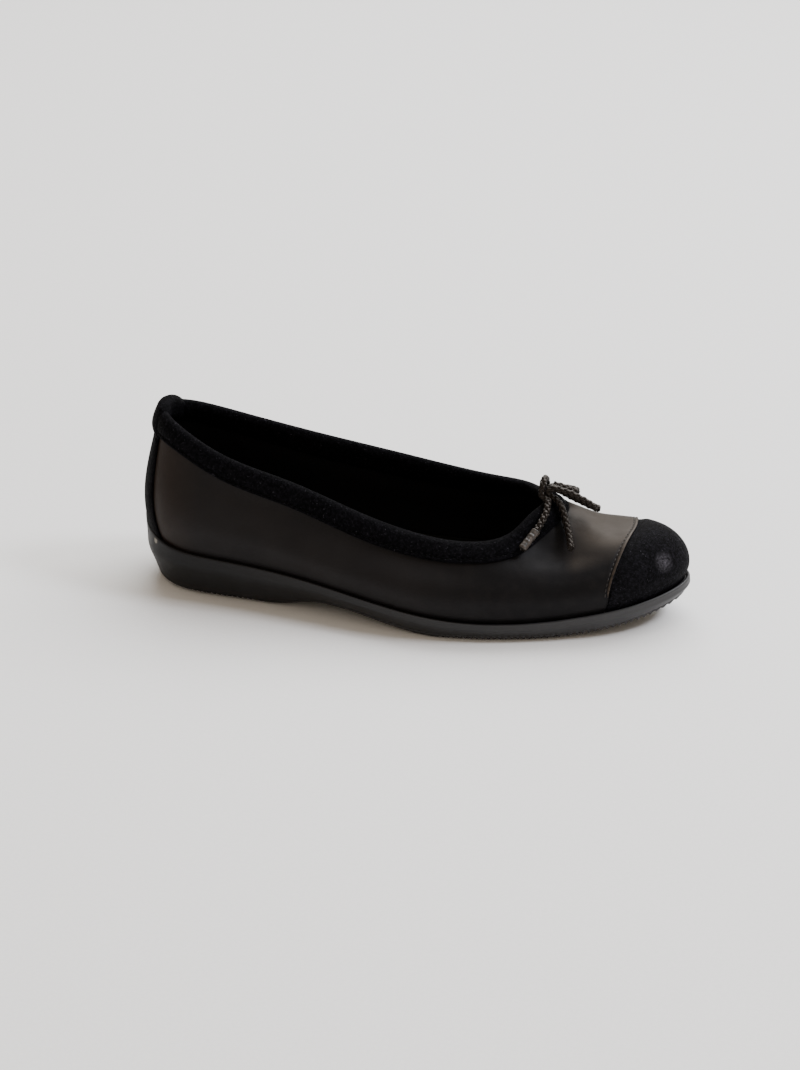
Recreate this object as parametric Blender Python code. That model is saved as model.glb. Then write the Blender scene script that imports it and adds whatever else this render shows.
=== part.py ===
"""A woman's ballet flat for the right foot, built from the pieces that a shoemaker puts together.

Metres. +X points to the toe, +Y to the wearer's left and +Z up; the shoe stands on z = 0.
"""

import functools
import math

import bmesh
import bpy
import numpy as np

# Driving sizes of the shoe
LENGTH = 0.240          # outsole, heel to toe
BALL_WIDTH = 0.083      # upper at the sole, across the ball
UPPER_HEIGHT = 0.056    # back of the collar above the sole's edge
SEAT_HEIGHT = 0.0200    # sole's edge above the floor at the heel
CLEARANCE = 0.0003      # between two pieces that meet

# Upper
WALL = 0.0018           # leather and lining
COLLAR_WALL = 0.0012    # skived under the binding
TOE_WALL = 0.0034       # leather and toe puff under the cap
SKIVE_LENGTH = 0.016    # below the collar edge

# Toe cap
STIFFENER_START = 0.030 # behind the cap's seam, where the toe's wall starts to thicken
STIFFENER_FULL = 0.012  # and where it has its full thickness
CAP_THICKNESS = 0.0010
CAP_SINK = 0.0006       # cap face below the vamp leather that laps over it
CAP_SEAM = 0.0245       # crest of the seam back from the toe tip of the outsole
CAP_SEAM_SWEEP = 0.0134 # how far the seam runs back at its two ends
CAP_SEAM_SIDE = 0.005   # the seam's crest sits this far toward the inner side

# Collar binding
BINDING_OUTSIDE = 0.0088
BINDING_INSIDE = 0.0090
BINDING_THICKNESS = 0.0011
BINDING_PUFF = 0.0007

# Heel strip and its padded tab
STRIP_SPREAD = 0.0245   # half width where it meets the sole, round the heel
TAB_SPREAD = 0.0160     # half width of the tab, measured on the same lines at the sole
TAB_LEAN = 0.0038       # the tab sits this far toward the inner side
STRIP_THICKNESS = 0.0010
TAB_PAD = 0.0024
TAB_TILT = 0.25         # how much thicker its inner half is, as a share
TAB_INSIDE = 0.0080
STRIP_GAP = 0.0008      # between the strip's edge and the end of the binding

# Outsole
RIM_THICKNESS = 0.0014
RIM_HEIGHT = 0.0016     # rim above the sole's seat along the sides
RIM_BACK_RISE = 0.0085  # how much higher the rim stands at the back of the heel
RIM_BACK_SPREAD = 0.020 # how far round the heel that rise goes
WELT_STEP = 0.0005      # step low on the wall, over the tread
WELT_HEIGHT = 0.0022
HEEL_END = 0.060        # where the tread leaves the floor, from the back of the sole
BREAST_RUN = 0.026      # how gently the heel's front rises into the arch
ARCH_RISE = 0.0043
UNDERCUT_HEEL = 0.0078  # how far the wall's foot stands inside its top, round heel and waist
UNDERCUT_FOREPART = 0.0030
UNDERCUT_CHANGE = 0.076 # where the first starts to give way to the second
FOREFOOT_START = 0.142
FOREFOOT_END = 0.176
TOE_SPRING = 0.0105

# Insole
INSOLE_THICKNESS = 0.0020
INSOLE_LEAD = 0.004     # it narrows this far before the toe's wall thickens

# Bow of round braided cord, tied at the throat
CORD = 0.0034
CORD_STEP = 1.2         # between the points of its tubes, in diameters

# Grid
RING_POINTS = 72
RING_CROWDING = 0.40    # how much closer the points stand round the heel and toe
LOWER_ROWS = 8

# Lines up the upper, from the back of the heel to the toe tip. Foot is where a line meets the sole
# and top is its end on the collar. Along is a share of LENGTH; the outer and inner half widths are
# shares of BALL_WIDTH; rises are shares of UPPER_HEIGHT. Belly is how far a line swells, as a share
# of UPPER_HEIGHT, bend_in and bend_up place its shoulder between foot and top, and sag is how far
# it dips between the shoulder and the top, again as a share of UPPER_HEIGHT.
LINE_COLUMNS = (
    "foot_along", "foot_outer", "foot_inner", "top_along", "top_outer", "top_inner",
    "rise_outer", "rise_inner", "belly", "bend_in", "bend_up", "sag",
)
LINES = (
    (0.0125, 0.000, 0.000, 0.035, 0.000, 0.000, 1.000, 1.000, 0.036, 0.24, 0.70, 0.00),  # centre back
    (0.0290, 0.169, 0.169, 0.048, 0.102, 0.102, 0.985, 0.985, 0.038, 0.28, 0.70, 0.00),  # back
    (0.0710, 0.283, 0.283, 0.079, 0.169, 0.169, 0.940, 0.950, 0.045, 0.40, 0.70, 0.00),  # heel
    (0.1580, 0.343, 0.337, 0.158, 0.235, 0.241, 0.802, 0.855, 0.045, 0.50, 0.70, 0.00),  # heel front
    (0.3000, 0.386, 0.337, 0.300, 0.277, 0.315, 0.680, 0.732, 0.050, 0.50, 0.70, 0.00),  # waist
    (0.4300, 0.458, 0.380, 0.442, 0.325, 0.350, 0.562, 0.675, 0.050, 0.40, 0.70, 0.00),  # instep
    (0.5750, 0.518, 0.452, 0.590, 0.350, 0.355, 0.522, 0.642, 0.050, 0.35, 0.72, 0.00),  # ball
    (0.7080, 0.464, 0.476, 0.681, 0.285, 0.283, 0.575, 0.668, 0.040, 0.32, 0.72, 0.01),  # forepart
    (0.8290, 0.349, 0.400, 0.719, 0.172, 0.169, 0.640, 0.660, 0.030, 0.28, 0.58, 0.07),  # cap
    (0.9250, 0.205, 0.290, 0.737, 0.082, 0.082, 0.625, 0.635, 0.025, 0.19, 0.61, 0.060),  # toe corner
    (0.9875, -0.055, 0.055, 0.743, 0.000, 0.000, 0.575, 0.575, 0.018, 0.14, 0.67, 0.085),  # toe tip
)

# Routes of the bow's cord, chosen by hand, in metres from the middle of the throat
BOW_ROUTES = {
    "bow_knot": (
        (-0.0028, -0.0028, 0.0038),
        (-0.0027, -0.0036, 0.0060),
        (-0.0025, -0.0022, 0.0086),
        (-0.0023, 0.0006, 0.0096),
        (-0.0022, 0.0034, 0.0086),
        (-0.0023, 0.0045, 0.0060),
        (-0.0025, 0.0040, 0.0037),
    ),
    "bow_loop_outer": (
        (-0.0040, 0.0004, 0.0046),
        (-0.0026, 0.0004, 0.0050),
        (-0.0010, 0.0005, 0.0055),
        (0.0020, 0.0012, 0.0060),
        (0.0055, 0.0018, 0.0047),
        (0.0095, 0.0021, 0.0028),
        (0.0140, 0.0022, 0.0009),
        (0.0180, 0.0019, -0.0007),
        (0.0205, 0.0005, -0.0012),
        (0.0199, -0.0017, -0.0004),
        (0.0166, -0.0026, 0.0016),
        (0.0126, -0.0028, 0.0036),
        (0.0086, -0.0028, 0.0053),
        (0.0046, -0.0029, 0.0066),
        (0.0014, -0.0030, 0.0072),
    ),
    "bow_loop_inner": (
        (0.0010, 0.0056, 0.0052),
        (0.0036, 0.0066, 0.0043),
        (0.0062, 0.0078, 0.0030),
        (0.0086, 0.0093, 0.0016),
        (0.0097, 0.0112, 0.0008),
        (0.0088, 0.0130, 0.0005),
        (0.0064, 0.0134, 0.0007),
        (0.0036, 0.0124, 0.0013),
        (0.0010, 0.0107, 0.0020),
        (-0.0008, 0.0085, 0.0028),
    ),
    "bow_end_outer": (
        (0.0004, -0.0066, 0.0030),
        (0.0009, -0.0092, 0.0021),
        (0.0010, -0.0118, 0.0006),
        (0.0004, -0.0145, -0.0012),
        (-0.0007, -0.0174, -0.0033),
        (-0.0021, -0.0203, -0.0054),
        (-0.0037, -0.0232, -0.0073),
        (-0.0052, -0.0258, -0.0090),
        (-0.0063, -0.0278, -0.0104),
    ),
    "bow_end_front": (
        (0.0020, -0.0005, 0.0029),
        (0.0029, -0.0018, 0.0027),
        (0.0042, -0.0034, 0.0021),
        (0.0060, -0.0058, 0.0007),
        (0.0077, -0.0083, -0.0019),
        (0.0092, -0.0108, -0.0045),
        (0.0105, -0.0134, -0.0066),
        (0.0116, -0.0162, -0.0084),
        (0.0125, -0.0190, -0.0098),
        (0.0134, -0.0218, -0.0111),
    ),
}

# Edge where the upper meets the sole: along is a share of LENGTH, height of SEAT_HEIGHT
SEAT = (
    (0.00, 1.000),
    (0.17, 0.930),
    (0.31, 0.800),
    (0.44, 0.610),
    (0.58, 0.425),
    (0.72, 0.365),
    (0.83, 0.470),
    (0.93, 0.660),
    (1.00, 0.850),
)


def clear_scene():
    for thing in list(bpy.data.objects):
        bpy.data.objects.remove(thing, do_unlink=True)


def second_slopes(knots, values):
    """Second derivatives of the natural cubic spline through the values."""
    count = len(knots)
    step = np.diff(knots)
    matrix = np.eye(count)
    right = np.zeros(values.shape)
    for i in range(1, count - 1):
        matrix[i, i - 1 : i + 2] = step[i - 1], 2 * (step[i - 1] + step[i]), step[i]
        rise_after = (values[i + 1] - values[i]) / step[i]
        rise_before = (values[i] - values[i - 1]) / step[i - 1]
        right[i] = 6 * (rise_after - rise_before)
    return np.linalg.solve(matrix, right.reshape(count, -1)).reshape(values.shape)


def on_spline(knots, values, slopes, at):
    """Point of the spline; beyond its ends it runs on straight."""
    if at < knots[0] or at > knots[-1]:
        end = knots[0] if at < knots[0] else knots[-1]
        small = 1e-3 * (knots[-1] - knots[0]) * (1 if at < knots[0] else -1)
        here = on_spline(knots, values, slopes, end)
        near = on_spline(knots, values, slopes, end + small)
        return here + (near - here) * (at - end) / small
    i = min(max(int(np.searchsorted(knots, at)) - 1, 0), len(knots) - 2)
    step = knots[i + 1] - knots[i]
    a = (knots[i + 1] - at) / step
    b = 1 - a
    bend = ((a**3 - a) * slopes[i] + (b**3 - b) * slopes[i + 1]) * step**2 / 6
    return a * values[i] + b * values[i + 1] + bend


def smooth(at, start, end):
    """0 before start, 1 after end, with soft ends."""
    share = min(max((at - start) / (end - start), 0.0), 1.0)
    return share * share * (3 - 2 * share)


SEAT_KNOTS = np.array([row[0] for row in SEAT])
SEAT_VALUES = np.array([row[1] for row in SEAT])
SEAT_SLOPES = second_slopes(SEAT_KNOTS, SEAT_VALUES)


def seat(x):
    """Height of the sole's edge, and of the seat inside it, at this distance from the heel."""
    return SEAT_HEIGHT * float(on_spline(SEAT_KNOTS, SEAT_VALUES, SEAT_SLOPES, x / LENGTH))


def tread(x):
    """Height of the sole's underside above the floor."""
    breast = smooth(x, HEEL_END, HEEL_END + BREAST_RUN)
    run_out = 1 - smooth(x, HEEL_END + BREAST_RUN, FOREFOOT_START)
    spring = max(x - FOREFOOT_END, 0.0) / (LENGTH - FOREFOOT_END)
    return ARCH_RISE * breast * run_out + TOE_SPRING * spring**2


def line_corners(row, side):
    """Foot, swell, shoulder, crown and top of one line; side is -1 for the outer and 1 for the inner."""
    size = dict(zip(LINE_COLUMNS, row))
    which = "outer" if side < 0 else "inner"
    foot = np.array([size["foot_along"] * LENGTH, side * size["foot_" + which] * BALL_WIDTH, 0.0])
    foot[2] = seat(foot[0])
    top = np.array([size["top_along"] * LENGTH, side * size["top_" + which] * BALL_WIDTH, 0.0])
    top[2] = foot[2] + size["rise_" + which] * UPPER_HEIGHT
    middle = np.array([min(max(foot[0], 0.13 * LENGTH), 0.80 * LENGTH), 0.0, foot[2]])
    outward = (foot - middle) / np.linalg.norm(foot - middle)
    up = np.array([0.0, 0.0, top[2] - foot[2]])
    across = top - foot - up
    swell = foot + 0.30 * up + outward * size["belly"] * UPPER_HEIGHT
    shoulder = foot + size["bend_up"] * up + size["bend_in"] * across
    crown = (shoulder + top) / 2
    crown[2] -= size["sag"] * UPPER_HEIGHT
    return np.array([foot, swell, shoulder, crown, top])


def ring_tables():
    """Ring positions and corners of all the lines, round the outer side and back along the inner."""
    outer = [line_corners(row, -1) for row in LINES]
    inner = [line_corners(row, 1) for row in LINES]
    runs = [0.0]
    for i in range(1, len(LINES)):
        outer_step = np.linalg.norm(outer[i][0] - outer[i - 1][0])
        inner_step = np.linalg.norm(inner[i][0] - inner[i - 1][0])
        runs.append(runs[-1] + (outer_step + inner_step) / 2)
    places = [run / runs[-1] / 2 for run in runs]
    around = places + [1 - place for place in places[-2:0:-1]]
    corners = outer + inner[-2:0:-1]
    knots = [place - 1 for place in around] + around + [place + 1 for place in around]
    return np.array(knots), np.array(corners * 3), 2 * runs[-1]


RING_KNOTS, RING_VALUES, RING_LENGTH = ring_tables()
RING_SLOPES = second_slopes(RING_KNOTS, RING_VALUES)


@functools.lru_cache(maxsize=None)
def line(u):
    """Spline up the upper at ring position u: 0 at the back, 0.5 at the toe, outer side first."""
    corners = on_spline(RING_KNOTS, RING_VALUES, RING_SLOPES, u % 1.0)
    steps = np.linalg.norm(np.diff(corners, axis=0), axis=1)
    knots = np.concatenate([[0.0], np.cumsum(steps)])
    return knots, corners, second_slopes(knots, corners)


def bare_skin(u, up):
    knots, corners, slopes = line(round(u, 9))
    return on_spline(knots, corners, slopes, up)


def line_length(u):
    return line(round(u, 9))[0][-1]


def skin(u, up, out=0.0):
    """Point on the upper, up metres from the foot of line u and out metres outside its leather."""
    if out == 0.0:
        return bare_skin(u, up)
    share = up / line_length(u)
    aside = 0.002
    before = bare_skin(u - aside, share * line_length(u - aside))
    after = bare_skin(u + aside, share * line_length(u + aside))
    low = bare_skin(u, up - 0.0005)
    high = bare_skin(u, up + 0.0005)
    normal = np.cross(after - before, high - low)
    return bare_skin(u, up) + out * normal / np.linalg.norm(normal)


def below_collar(u, down, out=0.0):
    """Point down metres below the collar edge; negative down is above it."""
    return skin(u, line_length(u) - down, out)


def foot_outward(u, out, height):
    """Point beside the foot of line u, out metres outside it in plan, at this height."""
    before = bare_skin(u - 0.004, 0.0)
    after = bare_skin(u + 0.004, 0.0)
    along = (after - before)[:2] / np.linalg.norm((after - before)[:2])
    foot = bare_skin(u, 0.0)
    return np.array([foot[0] + along[1] * out, foot[1] - along[0] * out, height])


def grid_mesh(name, sections, round_ring, round_profile):
    """Mesh of quads through sections of equal point count, closed round the ring, the profile or both."""
    count, points = len(sections), len(sections[0])
    mesh = bpy.data.meshes.new(name)
    verts = [tuple(point) for section in sections for point in section]
    faces = []
    for i in range(count if round_ring else count - 1):
        for j in range(points if round_profile else points - 1):
            a = i * points + j
            b = i * points + (j + 1) % points
            c = (i + 1) % count * points
            faces.append((a, b, c + (j + 1) % points, c + j))
    if not round_ring:
        faces.append(tuple(range(points)))
        faces.append(tuple(range((count - 1) * points, count * points)))
    mesh.from_pydata(verts, [], faces)
    return mesh


def ladder(mesh, ring, height_at, rungs):
    """Closes the ring of an outline with rows of quads across the shoe, at the height that height_at gives."""
    bm = bmesh.new()
    bm.from_mesh(mesh)
    bm.verts.ensure_lookup_table()
    edge = [bm.verts[i] for i in ring]
    half = len(edge) // 2
    rows = [[edge[0]]]
    for i in range(1, half):
        left = edge[i]
        right = edge[-i]
        row = [left]
        for j in range(1, rungs):
            spot = left.co.lerp(right.co, j / rungs)
            spot.z += height_at(spot.x) - (left.co.z + (right.co.z - left.co.z) * j / rungs)
            row.append(bm.verts.new(spot))
        rows.append(row + [right])
    rows.append([edge[half]])
    for first, second in zip(rows, rows[1:]):
        if len(first) == 1 or len(second) == 1:
            tip, row = (first[0], second) if len(first) == 1 else (second[0], first)
            for a, b in zip(row, row[1:]):
                bm.faces.new((tip, a, b))
            continue
        for j in range(rungs):
            bm.faces.new((first[j], first[j + 1], second[j + 1], second[j]))
    bm.to_mesh(mesh)
    bm.free()


def face_outward(mesh):
    bm = bmesh.new()
    bm.from_mesh(mesh)
    bmesh.ops.recalc_face_normals(bm, faces=bm.faces)
    bm.to_mesh(mesh)
    bm.free()


def finish(name, colour, roughness):
    material = bpy.data.materials.new(name)
    material.use_nodes = True
    shader = material.node_tree.nodes["Principled BSDF"]
    shader.inputs["Base Color"].default_value = (*colour, 1.0)
    shader.inputs["Roughness"].default_value = roughness
    shader.inputs["Metallic"].default_value = 0.0
    return material


def add(mesh, collection, material):
    face_outward(mesh)
    thing = bpy.data.objects.new(mesh.name, mesh)
    thing.data.materials.append(material)
    collection.objects.link(thing)
    return thing


def ring_place(i):
    """Ring position of point i, which every piece of the upper shares."""
    share = i / RING_POINTS
    return share - RING_CROWDING * math.sin(4 * math.pi * share) / (4 * math.pi)


def ring_index(reach):
    """Ring point nearest to this distance round from the centre back."""
    return min(range(1, RING_POINTS // 4), key=lambda i: abs(ring_place(i) * RING_LENGTH - reach))


def rows_down(u):
    """Distances below the collar of the upper's rows of points, collar first."""
    length = line_length(u)
    lower = [SKIVE_LENGTH + (length - SKIVE_LENGTH) * j / LOWER_ROWS for j in range(LOWER_ROWS + 1)]
    return [0.0, 0.5 * BINDING_OUTSIDE, BINDING_OUTSIDE] + lower


def inner_wall(u, down):
    """Thickness of the upper here: skived at the collar, stiffened under the toe cap."""
    skived = COLLAR_WALL + (WALL - COLLAR_WALL) * smooth(down, 0.5 * SKIVE_LENGTH, SKIVE_LENGTH)
    x = below_collar(u, down)[0]
    toe = smooth(x, LENGTH - CAP_SEAM - STIFFENER_START, LENGTH - CAP_SEAM - STIFFENER_FULL)
    return skived + (TOE_WALL - WALL) * toe


def upper_mesh():
    sections = []
    for i in range(RING_POINTS):
        u = ring_place(i)
        downs = rows_down(u)
        outside = [below_collar(u, down) for down in downs]
        inside = [below_collar(u, down, -inner_wall(u, down)) for down in downs]
        outside[-1][2] += CLEARANCE
        inside[-1] = foot_outward(u, -inner_wall(u, downs[-1]), outside[-1][2])
        sections.append(outside + inside[::-1])
    return grid_mesh("upper", sections, True, True)


def cap_seam_box(name, back):
    """Block in front of the cap seam; back moves its rear face toward the heel."""
    top = 0.090
    crest = LENGTH - CAP_SEAM - back
    rows = []
    for i in range(13):
        share = i / 6 - 1
        side = CAP_SEAM_SIDE + share * 0.6 * BALL_WIDTH
        rows.append((crest - CAP_SEAM_SWEEP * abs(share) ** 1.6, side))
    outline = rows + [(LENGTH + 0.02, rows[-1][1]), (LENGTH + 0.02, rows[0][1])]
    mesh = bpy.data.meshes.new(name)
    count = len(outline)
    verts = [(x, y, z) for z in (-0.01, top) for x, y in outline]
    faces = [tuple(range(count)), tuple(range(count, 2 * count))]
    for i in range(count):
        after = (i + 1) % count
        faces.append((i, after, count + after, count + i))
    mesh.from_pydata(verts, [], faces)
    return mesh


def toe_band(name, low, high, foot_lift):
    """Band that follows the toe of the upper between two distances from its leather."""
    sections = []
    first = round(0.28 * RING_POINTS)
    for i in range(first, RING_POINTS - first + 1):
        u = ring_place(i)
        length = line_length(u)
        reach = min(length - 0.004, 0.045)
        ups = [foot_lift + (reach - foot_lift) * j / 9 for j in range(10)]
        outside = [skin(u, up, high) for up in ups]
        inside = [skin(u, up, low) for up in ups]
        sections.append(outside + inside[::-1])
    return grid_mesh(name, sections, False, True)


def boolean(thing, operation, other):
    modifier = thing.modifiers.new(other.name, "BOOLEAN")
    modifier.operation = operation
    modifier.object = other
    modifier.solver = "EXACT"


def strip_edge(side, down, length):
    """Ring position of the strip's edge at this distance below the collar; side is -1 or 1."""
    share = min(max(down / length, 0.0), 1.0)
    top = side * TAB_SPREAD - TAB_LEAN
    return (top + (side * STRIP_SPREAD - top) * share) / RING_LENGTH


def binding_mesh():
    sections = []
    outer = CLEARANCE + BINDING_THICKNESS
    inner = -COLLAR_WALL - CLEARANCE
    over = -CLEARANCE - BINDING_THICKNESS - 0.3 * BINDING_PUFF
    ends = [ring_index(TAB_SPREAD - TAB_LEAN) + 1, RING_POINTS - ring_index(TAB_SPREAD + TAB_LEAN) - 1]
    back_length = line_length(0.0)
    for i in range(ends[0] - 1, ends[1] + 2):
        profile = (
            (CLEARANCE, BINDING_OUTSIDE),
            (outer, BINDING_OUTSIDE),
            (outer + 0.8 * BINDING_PUFF, 0.50 * BINDING_OUTSIDE),
            (outer + BINDING_PUFF, 0.10 * BINDING_OUTSIDE),
            (0.2 * outer, over),
            (-COLLAR_WALL - 0.2 * outer, over),
            (inner - BINDING_THICKNESS - 0.5 * BINDING_PUFF, 0.10 * BINDING_INSIDE),
            (inner - BINDING_THICKNESS, BINDING_INSIDE),
            (inner, BINDING_INSIDE),
            (inner, 0.5 * BINDING_OUTSIDE),
            (inner, -CLEARANCE),
            (CLEARANCE, -CLEARANCE),
            (CLEARANCE, 0.5 * BINDING_OUTSIDE),
        )
        section = []
        for out, down in profile:
            u = ring_place(i)
            if i < ends[0]:
                u = strip_edge(1, down, back_length) + STRIP_GAP / RING_LENGTH
            if i > ends[1]:
                u = 1 + strip_edge(-1, down, back_length) - STRIP_GAP / RING_LENGTH
            section.append(below_collar(u, down, out))
        sections.append(section)
    return grid_mesh("topline_binding", sections, False, True)


def rim_rise(u):
    """Height of the sole's rim above its seat."""
    away = min(u % 1.0, 1 - u % 1.0) * RING_LENGTH
    return RIM_HEIGHT + RIM_BACK_RISE * math.exp(-((away / RIM_BACK_SPREAD) ** 2))


def heel_strip_mesh():
    sections = []
    count = 14
    length = line_length(0.0)
    for i in range(count + 1):
        side = 2 * i / count - 1
        pad = TAB_PAD * (1 - abs(side) ** 3) * (1 - TAB_TILT * side)
        away = side * STRIP_SPREAD / RING_LENGTH
        base = line_length(away) - rim_rise(away) - 2 * CLEARANCE
        face = CLEARANCE + STRIP_THICKNESS
        inner = -COLLAR_WALL - CLEARANCE
        lining = inner - STRIP_THICKNESS
        lower = [SKIVE_LENGTH + (base - SKIVE_LENGTH) * j / 6 for j in range(7)]
        back = [(CLEARANCE, down) for down in [0.5 * BINDING_OUTSIDE, BINDING_OUTSIDE] + lower]
        front = [(face + 0.1 * pad, down) for down in lower[:1]] + [(face, down) for down in lower[1:]]
        roll = [
            (face + 0.70 * pad, BINDING_OUTSIDE),
            (face + pad, 0.5 * BINDING_OUTSIDE),
            (face + 0.60 * pad, -0.0010 - 0.6 * pad),
            (-0.5 * COLLAR_WALL, -0.0016 - 1.2 * pad),
            (lining - 0.6 * pad, -0.0010 - 0.6 * pad),
            (lining - 0.9 * pad, 0.4 * TAB_INSIDE),
            (lining - 0.4 * pad, 0.8 * TAB_INSIDE),
            (lining, TAB_INSIDE),
            (inner, TAB_INSIDE),
            (inner, 0.5 * BINDING_OUTSIDE),
            (inner, -CLEARANCE),
            (CLEARANCE, -CLEARANCE),
        ]
        section = []
        for out, down in front[::-1] + roll + back:
            left = strip_edge(-1, down, length)
            right = strip_edge(1, down, length)
            u = left + (right - left) * i / count
            section.append(below_collar(u, down, out))
        sections.append(section)
    return grid_mesh("heel_strip", sections, False, True)


def undercut(x):
    """How far the foot of the sole's wall stands inside its top edge."""
    share = smooth(x, UNDERCUT_CHANGE, FOREFOOT_START)
    return UNDERCUT_HEEL + (UNDERCUT_FOREPART - UNDERCUT_HEEL) * share


def outsole_mesh():
    sections = []
    for i in range(RING_POINTS):
        u = ring_place(i)
        foot = bare_skin(u, 0.0)
        seat_height = foot[2]
        rise = rim_rise(u)
        ground = tread(foot[0])
        top = seat_height + rise
        depth = seat_height - ground
        outside = CLEARANCE + RIM_THICKNESS
        under = undercut(foot[0])
        step = ground + min(WELT_HEIGHT, 0.45 * depth)
        section = [
            foot_outward(u, CLEARANCE, seat_height),
            skin(u, 0.5 * rise, CLEARANCE),
            skin(u, rise, CLEARANCE),
            skin(u, rise + 0.0002, 0.5 * outside),
            skin(u, rise - 0.0004, outside),
            foot_outward(u, outside + 0.0004, ground + 0.75 * depth),
            foot_outward(u, outside - 0.20 * under, ground + 0.45 * depth + 0.0003),
            foot_outward(u, outside - 0.45 * under, step + 0.0003),
            foot_outward(u, outside - 0.45 * under - WELT_STEP, step),
            foot_outward(u, outside - 0.75 * under, ground + 0.0007),
            foot_outward(u, outside - under - 0.0006, ground),
        ]
        if top - section[4][2] > 0.5 * rise:
            section[4][2] = top - 0.0004
        sections.append(section)
    mesh = grid_mesh("outsole", sections, True, False)
    size = len(sections[0])
    ladder(mesh, [i * size for i in range(RING_POINTS)], seat, 4)
    ladder(mesh, [i * size + size - 1 for i in range(RING_POINTS)], tread, 4)
    return mesh


def insole_mesh():
    sections = []
    inset = WALL + CLEARANCE
    toe_inset = TOE_WALL + CLEARANCE
    for i in range(RING_POINTS):
        u = ring_place(i)
        foot = bare_skin(u, 0.0)
        start = LENGTH - CAP_SEAM - STIFFENER_START - INSOLE_LEAD
        toe = smooth(foot[0], start, LENGTH - CAP_SEAM - STIFFENER_FULL)
        back = inset + (toe_inset - inset) * toe
        low = foot[2] + CLEARANCE
        high = low + INSOLE_THICKNESS
        sections.append([
            foot_outward(u, -back - 0.0004, high),
            foot_outward(u, -back, high - 0.0004),
            foot_outward(u, -back, low),
        ])
    mesh = grid_mesh("insole", sections, True, False)
    size = len(sections[0])
    ladder(mesh, [i * size for i in range(RING_POINTS)],
           lambda x: seat(x) + CLEARANCE + INSOLE_THICKNESS, 4)
    ladder(mesh, [i * size + size - 1 for i in range(RING_POINTS)],
           lambda x: seat(x) + CLEARANCE, 4)
    return mesh


def cord_object(name, route, material, collection):
    """Tube along the smooth curve through a route's points."""
    throat = below_collar(0.5, 0.0)
    points = np.array(route) + throat
    steps = np.linalg.norm(np.diff(points, axis=0), axis=1)
    knots = np.concatenate([[0.0], np.cumsum(steps)])
    slopes = second_slopes(knots, points)
    count = max(4, round(knots[-1] / (CORD_STEP * CORD)))
    curve = bpy.data.curves.new(name, "CURVE")
    curve.dimensions = "3D"
    curve.bevel_depth = CORD / 2
    curve.bevel_resolution = 2
    curve.use_fill_caps = True
    spline = curve.splines.new("POLY")
    spline.points.add(count)
    for i in range(count + 1):
        spot = on_spline(knots, points, slopes, knots[-1] * i / count)
        spline.points[i].co = (*spot, 1.0)
    curve.materials.append(material)
    cord = bpy.data.objects.new(name, curve)
    collection.objects.link(cord)
    return cord


def stand_over_origin(things, helpers):
    """Moves everything so that the shoe's box stands on the floor, centred on the origin."""
    bpy.context.view_layer.update()
    graph = bpy.context.evaluated_depsgraph_get()
    corners = []
    for thing in things:
        evaluated = thing.evaluated_get(graph)
        mesh = evaluated.to_mesh()
        corners += [tuple(vertex.co) for vertex in mesh.vertices]
        evaluated.to_mesh_clear()
    low = np.min(corners, axis=0)
    high = np.max(corners, axis=0)
    shift = (-(low[0] + high[0]) / 2, -(low[1] + high[1]) / 2, -low[2])
    for thing in list(things) + list(helpers):
        thing.location = shift


clear_scene()
shoe = bpy.data.collections.new("ballet_flat")
cutters = bpy.data.collections.new("cutters")
bpy.context.scene.collection.children.link(shoe)
bpy.context.scene.collection.children.link(cutters)
leather = finish("leather", (0.035, 0.030, 0.028), 0.45)
suede = finish("suede", (0.012, 0.011, 0.012), 0.95)
rubber = finish("rubber", (0.020, 0.020, 0.020), 0.60)
lining = finish("lining", (0.010, 0.010, 0.010), 0.90)
cord = finish("cord", (0.025, 0.022, 0.021), 0.80)

outsole = add(outsole_mesh(), shoe, rubber)
upper = add(upper_mesh(), shoe, leather)
insole = add(insole_mesh(), shoe, lining)
binding = add(binding_mesh(), shoe, suede)
strip = add(heel_strip_mesh(), shoe, suede)

seam_block = add(cap_seam_box("cap_seam_block", 0.0), cutters, leather)
front_block = add(cap_seam_box("cap_front_block", -CLEARANCE), cutters, leather)
pocket = add(toe_band("cap_pocket", -CAP_SINK - CAP_THICKNESS - CLEARANCE, 0.004, -0.004), cutters, leather)
cap = add(toe_band("toe_cap", -CAP_SINK - CAP_THICKNESS, -CAP_SINK, 2 * CLEARANCE), shoe, suede)
boolean(pocket, "INTERSECT", seam_block)
boolean(upper, "DIFFERENCE", pocket)
boolean(cap, "INTERSECT", front_block)
for name, route in BOW_ROUTES.items():
    cord_object(name, route, cord, shoe)
stand_over_origin(shoe.objects, cutters.objects)
for cutter in cutters.objects:
    cutter.hide_render = True
    cutter.display_type = "WIRE"
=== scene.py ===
"""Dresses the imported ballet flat: braided bow, leather, suede, stitching, moulded sole and studio.

Metres, in the frame's axes: +X points to the toe, +Y to the wearer's left and +Z up. The shoe's own
functions work in a maker's axes, with x = 0 at the back of the sole, and OFFSET takes them to the frame.
"""
import functools
import math

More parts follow.
